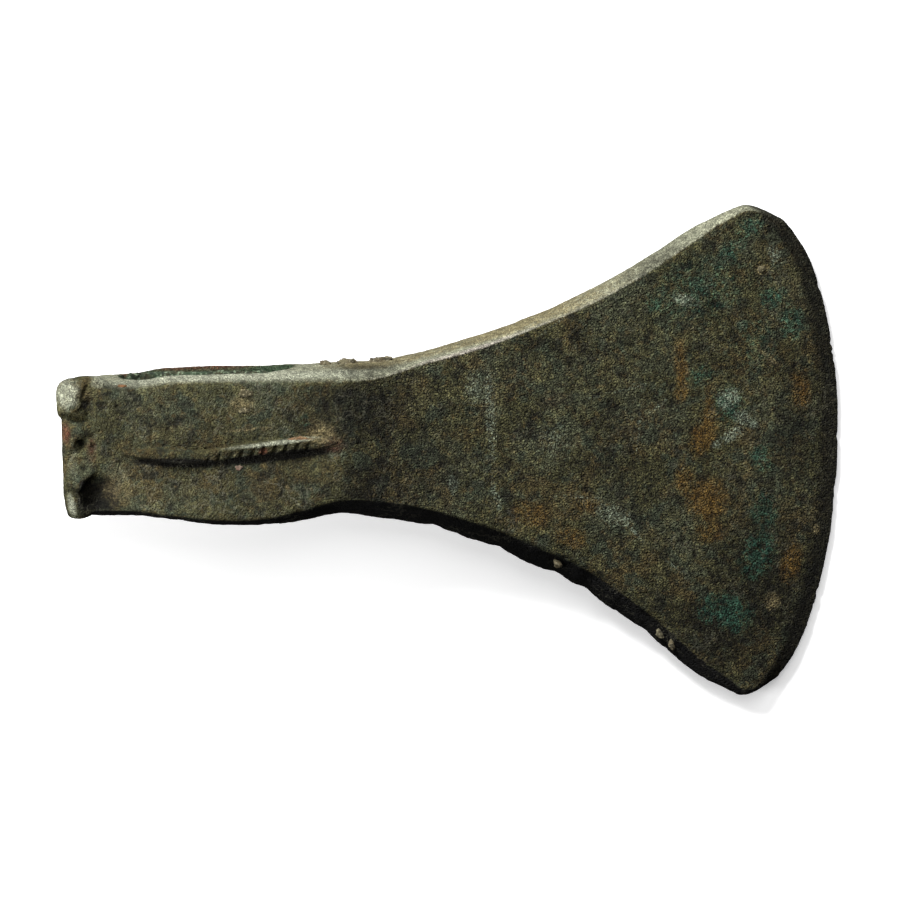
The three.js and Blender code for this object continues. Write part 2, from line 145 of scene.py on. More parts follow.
def close_tree(tree: bpy.types.NodeTree, geometry: bpy.types.NodeSocket) -> None:
    """Ends a geometry tree in Realize Instances, Set Material and its output.

    Args:
        tree: The geometry node tree.
        geometry: The geometry so far.
    """
    real = add_node(tree, "GeometryNodeRealizeInstances", None, {"Geometry": geometry})
    dressed = add_node(tree, "GeometryNodeSetMaterial", None, {"Geometry": real.outputs["Geometry"]})
    add_node(tree, "NodeGroupOutput", None, {"Geometry": dressed.outputs["Geometry"]})


def add_waves(tree: bpy.types.NodeTree, seed: bpy.types.NodeSocket, length: bpy.types.NodeSocket,
              height: bpy.types.NodeSocket, detail: float, roughness: float) -> bpy.types.NodeSocket:
    """Adds a noise that rises and falls about zero, for a relief.

    Args:
        tree: The geometry node tree.
        seed: Seed of the noise.
        length: Length of its waves.
        height: Height that they reach.
        detail: Count of its finer layers.
        roughness: Strength of its finer layers.

    Returns:
        The height at each point.
    """
    place = add_node(tree, "GeometryNodeInputPosition").outputs["Position"]
    scale = add_node(tree, "ShaderNodeMath", {"operation": "DIVIDE"}, {0: 1.0, 1: length})
    waves = add_node(tree, "ShaderNodeTexNoise", {"noise_dimensions": "4D"}, {
        "Vector": place, "W": seed, "Scale": scale.outputs["Value"], "Detail": detail, "Roughness": roughness,
    })
    # Noise lies about its mean of one half; four times that spans the height both ways
    centred = add_node(tree, "ShaderNodeMath", {"operation": "MULTIPLY_ADD"}, {
        0: waves.outputs["Fac"], 1: 4.0, 2: -2.0,
    })
    return add_node(tree, "ShaderNodeMath", {"operation": "MULTIPLY"}, {
        0: centred.outputs["Value"], 1: height,
    }).outputs["Value"]


def push_out(tree: bpy.types.NodeTree, geometry: bpy.types.NodeSocket,
             height: bpy.types.NodeSocket) -> bpy.types.NodeSocket:
    """Moves each point of a mesh along its normal.

    Args:
        tree: The geometry node tree.
        geometry: The mesh.
        height: How far each point moves.

    Returns:
        The moved mesh.
    """
    normal = add_node(tree, "GeometryNodeInputNormal").outputs["Normal"]
    offset = add_node(tree, "ShaderNodeVectorMath", {"operation": "SCALE"}, {
        "Vector": normal, "Scale": height,
    })
    return add_node(tree, "GeometryNodeSetPosition", None, {
        "Geometry": geometry, "Offset": offset.outputs["Vector"],
    }).outputs["Geometry"]


def new_material(name: str) -> tuple[bpy.types.Material, bpy.types.Node]:
    """Makes a material.

    Args:
        name: The material's name.

    Returns:
        The material and its principled shader.
    """
    material = bpy.data.materials.new(name)
    material.use_nodes = True
    return material, material.node_tree.nodes["Principled BSDF"]


def lay_over(tree: bpy.types.NodeTree, colour: bpy.types.NodeSocket | tuple, value: bpy.types.NodeSocket,
             span: tuple[float, float], code: str, cover: float) -> bpy.types.NodeSocket:
    """Lays a colour where a value rises, or falls, over a span.

    Args:
        tree: The material's tree.
        colour: The colour so far.
        value: The value that decides.
        span: Values at which the cover starts and is full; it may run downwards.
        code: The colour's hex value.
        cover: The full cover.

    Returns:
        The colour.
    """
    share = add_node(tree, "ShaderNodeMapRange", {"interpolation_type": "SMOOTHSTEP"}, {
        "Value": value, "From Min": span[0], "From Max": span[1], "To Max": cover,
    })
    return add_node(tree, "ShaderNodeMix", {"data_type": "RGBA"}, {
        0: share.outputs["Result"], 6: colour, 7: linear_colour(code),
    }).outputs[2]


def lay_clouds(tree: bpy.types.NodeTree, place: bpy.types.NodeSocket, body: str, layers: tuple[tuple, ...],
               detail: float, roughness: float) -> bpy.types.NodeSocket:
    """Lays clouds over a body colour, each a noise of its own size.

    Args:
        tree: The material's tree.
        place: Object coordinates.
        body: The body colour's hex value.
        layers: Rows of size in millimetres, span of the noise, hex value, full cover and seed.
        detail: Count of the noise's finer layers.
        roughness: Strength of its finer layers.

    Returns:
        The colour.
    """
    colour = linear_colour(body)
    for size, span, code, cover, seed in layers:
        cloud = add_node(tree, "ShaderNodeTexNoise", {"noise_dimensions": "4D"}, {
            "Vector": place, "W": seed, "Scale": 1 / (size * MM), "Detail": detail, "Roughness": roughness,
        })
        colour = lay_over(tree, colour, cloud.outputs["Fac"], span, code, cover)
    return colour


def make_object(name: str, points: np.ndarray, faces: list, edges: list | None = None) -> bpy.types.Object:
    """Makes a mesh object from points and faces, at the origin.

    Args:
        name: Name of the object and of its mesh.
        points: Points in metres, in the part's frame.
        faces: Faces as lists of point numbers.
        edges: Edges as pairs of point numbers, for a mesh with no faces.

    Returns:
        The object, linked to the scene.
    """
    mesh = bpy.data.meshes.new(name)
    mesh.from_pydata(points.tolist(), edges or [], faces)
    mesh.update()
    made = bpy.data.objects.new(name, mesh)
    bpy.context.scene.collection.objects.link(made)
    return made


def apply_modifiers(target: bpy.types.Object) -> bpy.types.Object:
    """Turns an object's evaluated shape into its own plain mesh and removes the modifiers.

    Args:
        target: The object whose modifiers are to be applied.

    Returns:
        The same object.
    """
    bpy.context.view_layer.update()
    evaluated = target.evaluated_get(bpy.context.evaluated_depsgraph_get())
    baked = bpy.data.meshes.new_from_object(evaluated, preserve_all_data_layers=True,
                                            depsgraph=bpy.context.evaluated_depsgraph_get())
    target.modifiers.clear()
    old = target.data
    target.data = baked
    baked.name = target.name
    bpy.data.meshes.remove(old)
    return target


def run_tree(target: bpy.types.Object, tree: bpy.types.NodeTree, identifiers: dict[str, str],
             values: dict[str, float | int]) -> bpy.types.Object:
    """Runs a geometry tree on an object and keeps the result as its mesh.

    Args:
        target: The object that the tree works on.
        tree: The geometry node tree.
        identifiers: Identifiers of the tree's inputs by name.
        values: Values of the inputs by name.

    Returns:
        The same object, with the result as its mesh.
    """
    modifier = target.modifiers.new(tree.name, "NODES")
    modifier.node_group = tree
    for name, value in values.items():
        modifier[identifiers[name]] = value
    return apply_modifiers(target)


def combine(target: bpy.types.Object, tool: bpy.types.Object, operation: str) -> None:
    """Cuts a closed mesh out of another, or joins it on, and drops the tool.

    Args:
        target: The closed mesh that stays.
        tool: The closed mesh that cuts or is added.
        operation: DIFFERENCE or UNION.
    """
    modifier = target.modifiers.new(tool.name, "BOOLEAN")
    modifier.operation = operation
    modifier.solver = "MANIFOLD"
    modifier.object = tool
    apply_modifiers(target)
    bpy.data.objects.remove(tool)


def even_out(target: bpy.types.Object, voxel: float) -> None:
    """Meshes a closed shape anew, evenly.

    Args:
        target: The shape's object.
        voxel: Length of the new mesh's steps in millimetres.
    """
    even = target.modifiers.new("even_mesh", "REMESH")
    even.mode = "VOXEL"
    even.voxel_size = voxel * MM
    apply_modifiers(target)


def dress(piece: bpy.types.Object, material: bpy.types.Material) -> None:
    """Gives a piece its one material and smooth faces.

    Args:
        piece: The finished shape.
        material: Its finish.
    """
    piece.data.materials.clear()
    piece.data.materials.append(material)
    piece.data.polygons.foreach_set("use_smooth", [True] * len(piece.data.polygons))


def points_of(mesh: bpy.types.Mesh) -> np.ndarray:
    """Reads a mesh's points.

    Args:
        mesh: The mesh.

    Returns:
        Its points in metres, one a row.
    """
    flat = np.empty(len(mesh.vertices) * 3, np.float32)
    mesh.vertices.foreach_get("co", flat)
    return flat.reshape(-1, 3).astype(float)


def store_values(mesh: bpy.types.Mesh, name: str, values: np.ndarray) -> None:
    """Stores one number a point on a mesh, under a name that trees and materials read."""
    attribute = mesh.attributes.get(name) or mesh.attributes.new(name, "FLOAT", "POINT")
    attribute.data.foreach_set("value", values.astype(np.float32))


def smooth_step(values: np.ndarray, start: float | np.ndarray, end: float | np.ndarray) -> np.ndarray:
    """Gives a smooth ramp from 0 at start to 1 at end."""
    share = np.clip((values - start) / (end - start), 0, 1)
    return share * share * (3 - 2 * share)


def hump(values: np.ndarray, middle: float, reach: float) -> np.ndarray:
    """Gives a soft hump of height 1 that stands at its middle and fades over its reach."""
    return np.exp(-((values - middle) / reach) ** 2)


@dataclass(frozen=True)
class AxeShape:
    """Sizes of the casting, as the part has them, in millimetres and in shares of those.

    Its own frame has X from the butt to the cutting edge, Y along the haft hole and Z out of the front cheek.
    """

    length: float = 160.8
    blade_rise: float = 50
    blade_drop: float = 52
    socket_thickness: float = 23
    edge_thickness: float = 2
    edge_lip: float = 0.7
    edge_bevel: float = 4.5
    upper_bevel: float = 2.5
    lower_bevel: float = 4.5
    cheek_dish: float = 1.1
    butt_round: float = 3.4
    butt_setback: float = 2.2
    hole_length: float = 34.6
    hole_width: float = 14
    hole_flat: float = 16
    hole_from_butt: float = 30.4
    rib_length: float = 43.5
    rib_from_butt: float = 12.8
    root_share: float = 0.36
    apex_share: float = 0.53
    butt_end_share: float = 0.78
    sag_shares: tuple[float, float] = (0.72, 0.28)
    sag_powers: tuple[int, int] = (2, 8)
    bow_power: float = 1.6
    upper_side_power: float = 2.2
    lower_side_power: float = 1.6
    neck_dip: float = 0.75
    neck_dip_from_butt: float = 69
    neck_dip_reach: float = 8.5
    lie_place: tuple[float, float, float] = (-80.45801, 1.0, 17.57656)
    # Place along, then upper crest, lower crest, upper bevel and lower bevel, as shares
    station_shares: tuple[tuple[float, ...], ...] = (
        (0.035, 0.312, 0.227, 0.5, 0.5),
        (0.055, 0.322, 0.231, 0.5, 0.55),
        (0.1, 0.334, 0.236, 0.8, 0.56),
        (0.14, 0.361, 0.258, 1, 0.58),
        (0.2, 0.366, 0.284, 1, 0.65),
        (0.255, 0.365, 0.29, 1, 0.74),
        (0.31, 0.361, 0.262, 0.95, 0.83),
        (0.355, 0.371, 0.237, 1.15, 0.92),
        (0.405, 0.376, 0.258, 0.95, 1.05),
        (0.46, 0.404, 0.288, 0.45, 1),
        (0.51, 0.448, 0.327, 0.52, 0.91),
        (0.56, 0.5, 0.388, 0.6, 0.96),
        (0.61, 0.56, 0.463, 0.65, 1.02),
        (0.665, 0.638, 0.55, 0.8, 1.05),
        (0.715, 0.72, 0.654, 0.9, 1.05),
        (0.765, 0.818, 0.773, 0.98, 1.02),
        (0.815, 0.92, 0.903, 0.92, 0.9),
        (0.855, 0.98, 0.969, 0.6, 0.6),
        (0.88, 1, 1, 0.4, 0.35),
        (0.922, 0.946, 0.938, 0.25, 0.15),
    )
    # Place along the rib, its height as a share of the blade's rise, and its swell
    rib_line_shares: tuple[tuple[float, ...], ...] = (
        (0, 0.035, 0.1),
        (0.12, 0.036, 0.75),
        (0.24, 0.024, 1.08),
        (0.37, 0.02, 0.92),
        (0.5, 0.036, 0.9),
        (0.62, 0.05, 1),
        (0.78, 0.06, 1),
        (0.92, 0.068, 0.8),
        (1, 0.073, 0.1),
    )

    @property
    def root_at(self) -> float:
        """Distance from the butt where the cheeks start to close towards the edge."""
        return self.root_share * self.length

    @property
    def cheek_slope(self) -> float:
        """How much a cheek closes for each millimetre towards the edge."""
        closing = (self.socket_thickness - self.edge_thickness) / 2
        return closing / (self.length - self.edge_bevel - self.root_at)

    @staticmethod
    def column(rows: tuple[tuple[float, ...], ...], number: int, along: np.ndarray) -> np.ndarray:
        """Reads one column of a table as a smooth curve through all its rows.

        Args:
            rows: The table; its first column is the place along.
            number: Number of the column that is read.
            along: Places along at which it is read.

        Returns:
            The value at each place.
        """
        table = np.array(rows, float)
        at, values = table[:, 0], table[:, number]
        slopes = np.empty_like(values)
        slopes[1:-1] = (values[2:] - values[:-2]) / (at[2:] - at[:-2])
        slopes[0] = (values[1] - values[0]) / (at[1] - at[0])
        slopes[-1] = (values[-1] - values[-2]) / (at[-1] - at[-2])
        span = np.clip(np.searchsorted(at, along) - 1, 0, len(at) - 2)
        width = at[span + 1] - at[span]
        share = np.clip((along - at[span]) / width, 0, 1)
        square, cube = share ** 2, share ** 3
        return (values[span] * (2 * cube - 3 * square + 1)
                + slopes[span] * width * (cube - 2 * square + share)
                + values[span + 1] * (3 * square - 2 * cube)
                + slopes[span + 1] * width * (cube - square))

    def upper_crest(self, x: np.ndarray) -> np.ndarray:
        """Height of the outline's upper crest at distances from the butt."""
        return self.column(self.station_shares, 1, x / self.length) * self.blade_rise

    def lower_crest(self, x: np.ndarray) -> np.ndarray:
        """Height of the outline's lower crest at distances from the butt."""
        return -self.column(self.station_shares, 2, x / self.length) * self.blade_drop

    def upper_arris(self, x: np.ndarray) -> np.ndarray:
        """Height of the arris between the cheek and the upper side."""
        bevel = self.column(self.station_shares, 3, x / self.length)
        return self.upper_crest(x) - bevel * self.upper_bevel

    def lower_arris(self, x: np.ndarray) -> np.ndarray:
        """Height of the arris between the cheek and the lower side."""
        bevel = self.column(self.station_shares, 4, x / self.length)
        return self.lower_crest(x) + bevel * self.lower_bevel

    def half_thickness(self, x: np.ndarray) -> np.ndarray:
        """Half the thickness between the planes of the cheeks."""
        return self.socket_thickness / 2 - np.maximum(0, x - self.root_at) * self.cheek_slope

    def front_hollow(self, x: np.ndarray, y: np.ndarray) -> np.ndarray:
        """Depth of the dish in the front cheek of the socket.

        Args:
            x: Distances from the butt.
            y: Heights above the long axis.

        Returns:
            Depth below the plane of the cheek.
        """
        middle = (self.upper_arris(x) + self.lower_arris(x)) / 2
        across = np.clip((y - middle) / (self.upper_arris(x) - middle), -1, 1)
        end = self.root_at - across ** 2 * self.butt_round * 2
        along_share = smooth_step(x, self.butt_round, self.butt_round * 4)
        along_share = along_share * smooth_step(end - x, 0, self.butt_round * 2)
        return self.cheek_dish * along_share * (1 - across ** 2) ** 2

    def neck_hollow(self, x: np.ndarray) -> np.ndarray:
        """Depth of the hollow sweep of both cheeks where the socket runs into the blade."""
        return self.neck_dip * hump(x, self.neck_dip_from_butt, self.neck_dip_reach)

    def sag(self, away: np.ndarray) -> np.ndarray:
        """Share of the edge's bow that is lost at shares of the way from its apex to a corner."""
        (mild, steep), (low, high) = self.sag_shares, self.sag_powers
        return mild * away ** low + steep * away ** high

    def section(self, end_share: float, size: float, at: float, steps: tuple[int, int, int]) -> np.ndarray:
        """Gives one cross-section of the casting, from the lower crest round the front and back again.

        Args:
            end_share: Place of the section's two ends, as a share of the length.
            size: Size of the section beside its full size.
            at: Distance from the butt of the section's two ends.
            steps: Counts of steps on a narrow side, on the front cheek and on the back cheek.

        Returns:
            Points in millimetres, one a row.
        """
        end = end_share * self.length
        places = np.array([end])
        low_crest = self.lower_crest(places)[0] * size
        low_arris = self.lower_arris(places)[0] * size
        high_arris = self.upper_arris(places)[0] * size
        high_crest = self.upper_crest(places)[0] * size
        apex = low_crest + (high_crest - low_crest) * self.apex_share
        bevel_start, last = self.station_shares[-2][0], self.station_shares[-1][0]
        bevel_tip = self.length - self.edge_bevel
        if end_share > bevel_start:
            tip = bevel_tip + self.edge_bevel * (end_share - bevel_start) / (last - bevel_start)
        else:
            share = max(0.0, end_share - self.root_share) / (bevel_start - self.root_share)
            tip = end + (bevel_tip - bevel_start * self.length) * share ** self.bow_power
        whet = smooth_step(np.array([end_share]), bevel_start, last)[0]

        side, cheek, back = steps
        outward = np.linspace(0, 1, side, endpoint=False)
        inward = np.linspace(1, 0, side + 1)

        def rim(cheek_steps: int, face: int) -> np.ndarray:
            """Gives the points of one face, from the lower crest to the upper crest.

            Args:
                cheek_steps: Count of steps on the cheek.
                face: 1 for the front face, -1 for the back face.

            Returns:
                Points in millimetres, one a row.
            """
            across = np.linspace(0, 1, cheek_steps, endpoint=False)
            heights = np.concatenate((
                low_crest + (low_arris - low_crest) * outward ** self.lower_side_power,
                low_arris + (high_arris - low_arris) * across,
                high_crest + (high_arris - high_crest) * inward ** self.upper_side_power,
            ))
            shares = np.concatenate((outward, np.ones(cheek_steps), inward))
            away = np.where(heights > apex, (heights - apex) / (high_crest - apex),
                            (apex - heights) / (apex - low_crest))
            x = at + (tip - end) - (tip - end) * self.sag(away)
            out = self.half_thickness(x) - self.neck_hollow(x)
            if face > 0:
                out = out - self.front_hollow(x, heights)
            out = (out + (self.edge_lip / 2 - out) * whet) * size
            return np.stack((x, heights, face * out * shares), axis=1)

        return np.concatenate((rim(cheek, 1), rim(back, -1)[1:-1][::-1]))

    def placed(self, points: np.ndarray) -> np.ndarray:
        """Moves points from the casting's own frame to the part's frame.

        Args:
            points: Points in millimetres, one a row.

        Returns:
            The moved points in metres.
        """
        turn = math.atan(self.cheek_slope)
        along = points[:, 0] * math.cos(turn) + points[:, 2] * math.sin(turn) + self.lie_place[0]
        out = points[:, 2] * math.cos(turn) - points[:, 0] * math.sin(turn) + self.lie_place[2]
        return np.stack((along, points[:, 1] + self.lie_place[1], out), axis=1) * MM

    def unplaced(self, points: np.ndarray) -> np.ndarray:
        """Moves points from the part's frame back to the casting's own frame.

        Args:
            points: Points in metres, one a row.

        Returns:
            The moved points in millimetres.
        """
        turn = math.atan(self.cheek_slope)
        along = points[:, 0] / MM - self.lie_place[0]
        out = points[:, 2] / MM - self.lie_place[2]
        x = along * math.cos(turn) - out * math.sin(turn)
        z = along * math.sin(turn) + out * math.cos(turn)
        return np.stack((x, points[:, 1] / MM - self.lie_place[1], z), axis=1)


class Face(Enum):
    """Faces of the casting that a stain lies on."""

    FRONT = "front"
    UPPER = "upper"


class Stain(Enum):
    """Kinds of stain on the patina, soot with painted shade and pale with a painted highlight among them;
    each is one attribute of the mesh.
    """

    OCHRE = "stain_ochre"
    VERDIGRIS = "stain_verdigris"
    LIME = "stain_lime"
    TAN = "stain_tan"
    RUST = "stain_rust"
    SOOT = "stain_soot_and_painted_shade"
    PALE = "stain_pale_and_painted_highlight"


@dataclass(frozen=True)
class StainSpot:
    """One soft-edged stain, in millimetres of the casting's frame.

    On the front cheek it lies at a distance from the butt and a height above the long axis. On the upper side
    the height is the distance out of the mid-plane.
    """

    kind: Stain
    along: float
    height: float
    reach: float
    breadth: float
    turn: float
    strength: float
    face: Face


def spots_of(kind: Stain, *rows: tuple[float, ...], face: Face = Face.FRONT) -> tuple[StainSpot, ...]:
    """Gives the spots of one stain on one face.

    Args:
        kind: The stain.
        rows: Place along, height, reach, breadth, turn in degrees and strength of each spot.
        face: The face that they lie on.

    Returns:
        The spots.
    """
    return tuple(StainSpot(kind, *row, face) for row in rows)


@dataclass(frozen=True)
class Stroke:
    """One ridge, groove or crack on the front cheek, along given points, in millimetres."""

    points: tuple[tuple[float, float], ...]
    width: float
    height: float


@dataclass(frozen=True)
class Dent:
    """One swelling or hollow on the front cheek, in millimetres."""

    along: float
    height: float
    reach: float
    breadth: float
    turn: float
    lift: float


@dataclass(frozen=True)
class ButtLump:
    """One lump or hollow of the battered butt, in millimetres of the casting's frame."""

    along: float
    height: float
    out: float
    reach: float
    rise: float
    swell: float
    operation: str = "UNION"
    power: float = 0.66


@dataclass(frozen=True)
class BuriedBronzePatina:
    """Tin bronze, cast in a mould and long buried.

    The metal is wholly changed at its skin to copper salts and tin oxide: a dull, granular, olive-brown
    mineral crust, with yellow-brown and grey-green grains, powdery green in the hollows and pale where
    hands and ground have rubbed the upper side. So it is rough and hardly metallic. Light and shade are
    painted
    into its colour too: on the grain, the upper side and its arris, the lower side, behind the edge and under
    the rib.
    """

    name: str = "tin_bronze_buried_patina"
    deep: str = "#1a1a12"
    body: str = "#32311e"
    grey: str = "#393c2d"
    earthy: str = "#3f351f"
    olive: str = "#43412a"
    blue_green: str = "#2b3126"
    crest: str = "#8f8d78"
    pit: str = "#060503"
    roughness: float = 0.72
    roughness_swing: float = 0.12
    haze_mm: float = 1.8
    metallic: float = 0.05
    specular: float = 0.16
    crag_mm: float = 1.1
    crag_painted_light_and_shade: tuple[float, float] = (0.55, 2.3)
    grit_mm: float = 0.3
    grit_painted_light_and_shade: tuple[float, float] = (0.3, 2.6)
    wrinkle_mm: float = 0.55
    wrinkle_painted_light_and_shade: tuple[float, float] = (0.92, 2.2)
    wrinkle_bump: float = 1.6
    bump_mm: float = 0.42
    crinkle_mm: float = 2.6
    crinkle_patch_mm: float = 7
    crinkle_width: float = 0.02
    crinkle_cover: float = 0.17
    pit_cover: float = 0.6
    stain_span: tuple[float, float] = (0.15, 1.05)
    first_stain_seed: int = 30

    def build(self) -> bpy.types.Material:
        """Builds the patina's nodes.

        Returns:
            The material.
        """
        material, shader = new_material(self.name)
        tree = material.node_tree
        place = add_node(tree, "ShaderNodeTexCoord").outputs["Object"]
        # Crags of 1 mm and their splinters: their crests get painted light and their hollows painted shade
        crag = add_node(tree, "ShaderNodeTexNoise", None, {
            "Vector": place, "Scale": 1 / (self.crag_mm * MM), "Detail": 4, "Roughness": 0.72,
            "Distortion": 0.5,
        }).outputs["Fac"]
        # Crystals of 0.3 mm, which the render just resolves
        grit = add_node(tree, "ShaderNodeTexNoise", {"noise_dimensions": "4D"}, {
            "Vector": place, "W": 3.3, "Scale": 1 / (self.grit_mm * MM), "Detail": 2, "Roughness": 0.65,
        }).outputs["Fac"]
        # Sharp little ridges wander between the crystals
        wrinkle = add_node(tree, "ShaderNodeTexNoise", {"noise_type": "RIDGED_MULTIFRACTAL"}, {
            "Vector": place, "Scale": 1 / (self.wrinkle_mm * MM), "Detail": 3, "Roughness": 0.55,
            "Lacunarity": 2.2, "Offset": 0.9, "Gain": 1.6, "Distortion": 0.2,
        }).outputs["Fac"]
        colour = self._mottled(tree, place)
        colour = self._stained(tree, place, colour)
        colour = self._grained(tree, place, colour, (grit, crag, wrinkle))
        tree.links.new(colour, shader.inputs["Base Color"])
        shader.inputs["Metallic"].default_value = self.metallic
        shader.inputs["Specular IOR Level"].default_value = self.specular
        self._finish_gloss(tree, place, shader, (grit, crag, wrinkle))
        return material

    def _mottled(self, tree: bpy.types.NodeTree, place: bpy.types.NodeSocket) -> bpy.types.NodeSocket:
        """Lays the broad and middle clouds of the mineral crust.

        Args:
            tree: The material's tree.
            place: Object coordinates.

        Returns:
            The colour.
        """
        # Clouds of 1 to 14 mm: grey-green, brown and olive run into each other within a few millimetres
        layers = (
            (14, (0.47, 0.57), self.grey, 0.75, 1.3),
            (9, (0.48, 0.6), self.earthy, 0.65, 4.7),
            (5, (0.5, 0.6), self.olive, 0.75, 6.1),
            (4.2, (0.52, 0.61), self.blue_green, 0.8, 8.8),
            (3.2, (0.53, 0.62), self.deep, 0.85, 7.9),
            (1.5, (0.54, 0.64), self.earthy, 0.6, 2.2),
            (1.2, (0.54, 0.64), self.grey, 0.6, 9.4),
        )
        return lay_clouds(tree, place, self.body, layers, 5, 0.62)

    def _grained(self, tree: bpy.types.NodeTree, place: bpy.types.NodeSocket, colour: bpy.types.NodeSocket,
                 heights: tuple[bpy.types.NodeSocket, ...]) -> bpy.types.NodeSocket:
        """Paints light on the crests and shade in the hollows of the grain, and draws pale crinkles.

        The painted light and shade keep the hue under them, so that the stains show through. They are strong
        on the blade and calm on the socket.

        Args:
            tree: The material's tree.
            place: Object coordinates.
            colour: The colour so far.
            heights: Heights of the crystals, the crags and the wrinkles.

        Returns:
            The colour.
        """
        grit, crag, wrinkle = heights
        shaded = colour
        # Each noise scales the colour: painted light on its crests, painted shade in its hollows. Each span
        # holds the values that it mostly takes
        for value, span, shades in ((crag, (0.34, 0.7), self.crag_painted_light_and_shade),
                                    (grit, (0.36, 0.66), self.grit_painted_light_and_shade),
                                    (wrinkle, (0.9, 1.8), self.wrinkle_painted_light_and_shade)):
            shade = add_node(tree, "ShaderNodeMapRange", {"interpolation_type": "SMOOTHSTEP"}, {
                "Value": value, "From Min": span[0], "From Max": span[1],
                "To Min": shades[0], "To Max": shades[1],
            })
            shaded = add_node(tree, "ShaderNodeVectorMath", {"operation": "SCALE"}, {
                "Vector": shaded, "Scale": shade.outputs["Result"],
            }).outputs["Vector"]
        lively = add_node(tree, "ShaderNodeAttribute", {"attribute_name": "grain_share"})
        colour = add_node(tree, "ShaderNodeMix", {"data_type": "RGBA"}, {
            0: lively.outputs["Fac"], 6: colour, 7: shaded,
        }).outputs[2]
        # Crinkles follow the level lines of a wandering noise, only in some patches
        wander = add_node(tree, "ShaderNodeTexNoise", None, {
            "Vector": place, "Scale": 1 / (self.crinkle_mm * MM), "Detail": 4, "Distortion": 0.3,
        })
        off_line = add_node(tree, "ShaderNodeMath", {"operation": "SUBTRACT"}, {
            0: wander.outputs["Fac"], 1: 0.5,
        })
        off_line = add_node(tree, "ShaderNodeMath", {"operation": "ABSOLUTE"}, {0: off_line.outputs["Value"]})
        patch = add_node(tree, "ShaderNodeTexNoise", None, {
            "Vector": place, "Scale": 1 / (self.crinkle_patch_mm * MM), "Detail": 2,
        })
        width = add_node(tree, "ShaderNodeMapRange", None, {
            "Value": patch.outputs["Fac"], "From Min": 0.45, "From Max": 0.62, "To Max": self.crinkle_width,
        })
        beside = add_node(tree, "ShaderNodeMath", {"operation": "SUBTRACT"}, {
            0: off_line.outputs["Value"], 1: width.outputs["Result"],
        })
        colour = lay_over(tree, colour, beside.outputs["Value"], (0.008, -0.012), self.crest,
                          self.crinkle_cover)
        relief = add_node(tree, "ShaderNodeAttribute", {"attribute_name": "relief_share"})
        return lay_over(tree, colour, relief.outputs["Fac"], (-0.3, -1.3), self.pit, self.pit_cover)

    def _stained(self, tree: bpy.types.NodeTree, place: bpy.types.NodeSocket,
                 colour: bpy.types.NodeSocket) -> bpy.types.NodeSocket:
        """Lays the stains and the painted light and shade, each broken up by the grains that it clings to.

        Args:
            tree: The material's tree.
            place: Object coordinates.
            colour: The colour so far.

        Returns:
            The colour.
        """
        # Each layer's attribute, colour, size of its crumbs in mm, full cover, and how far they break it up
        layers = (
            # Pale wear of the upper side, with painted light
            ("side_worn_and_painted_light", "#777866", 1.3, 0.92, 0.9),
            ("side_olive", "#685f43", 0.9, 0.8, 1.1),
            # Painted highlight, with some pale wear, along the upper arris
            ("arris_worn_and_painted_highlight", "#8b857c", 0.9, 0.85, 0.8),
            # Dark patina with painted shade on the lower side
            ("lower_side_dark_and_painted_shade", "#010101", 2.5, 1.0, 0.2),
            ("wall_green", "#2c3a2a", 0.8, 0.9, 0.5),
            # Painted shade behind the cutting edge
            ("edge_painted_shade", "#14130d", 2.0, 0.9, 0.4),
            # Soot with painted shade in hollows, on the neck and socket, at the blade's lower right and under
            # the rib
            (Stain.SOOT.value, "#060503", 1.8, 0.95, 0.8),
            (Stain.OCHRE.value, "#543d17", 1.1, 0.62, 1.5),
            (Stain.TAN.value, "#6a5f43", 0.7, 0.65, 1.2),
            (Stain.RUST.value, "#45251a", 0.6, 0.75, 0.9),
            (Stain.VERDIGRIS.value, "#22473a", 0.9, 0.5, 3.4),
            (Stain.LIME.value, "#7b8574", 0.5, 0.5, 3.8),
            # Pale rubbing, with a painted highlight on the rib's crest and painted light on the socket's
            # upper side
            (Stain.PALE.value, "#7d7f6f", 0.9, 0.85, 0.9),
        )
        for number, (name, code, size, cover, broken) in enumerate(layers):
            held = add_node(tree, "ShaderNodeAttribute", {"attribute_name": name})
            crumbs = add_node(tree, "ShaderNodeTexNoise", {"noise_dimensions": "4D"}, {
                "Vector": place, "W": self.first_stain_seed + number, "Scale": 1 / (size * MM),
                "Detail": 4, "Roughness": 0.65,
            })
            # The noise raises the stain on its crumbs and lowers it between them
            broken_by = add_node(tree, "ShaderNodeMath", {"operation": "MULTIPLY_ADD"}, {
                0: crumbs.outputs["Fac"], 1: 2 * broken, 2: 1 - broken,
            })
            reached = add_node(tree, "ShaderNodeMath", {"operation": "MULTIPLY"}, {
                0: held.outputs["Fac"], 1: broken_by.outputs["Value"],
            })
            colour = lay_over(tree, colour, reached.outputs["Value"], self.stain_span, code, cover)
        return colour

    def _finish_gloss(self, tree: bpy.types.NodeTree, place: bpy.types.NodeSocket, shader: bpy.types.Node,
                      heights: tuple[bpy.types.NodeSocket, ...]) -> None:
        """Sets roughness that varies over the crust, and the finest relief as a bump.

        Args:
            tree: The material's tree.
            place: Object coordinates.
            shader: The principled shader.
            heights: Heights of the crystals, the crags and the wrinkles.
        """
        haze = add_node(tree, "ShaderNodeTexNoise", None, {
            "Vector": place, "Scale": 1 / (self.haze_mm * MM), "Detail": 4,
        })
        rough = add_node(tree, "ShaderNodeMapRange", None, {
            "Value": haze.outputs["Fac"], "From Min": 0.3, "From Max": 0.7,
            "To Min": self.roughness - self.roughness_swing, "To Max": self.roughness + self.roughness_swing,
        })
        tree.links.new(rough.outputs["Result"], shader.inputs["Roughness"])
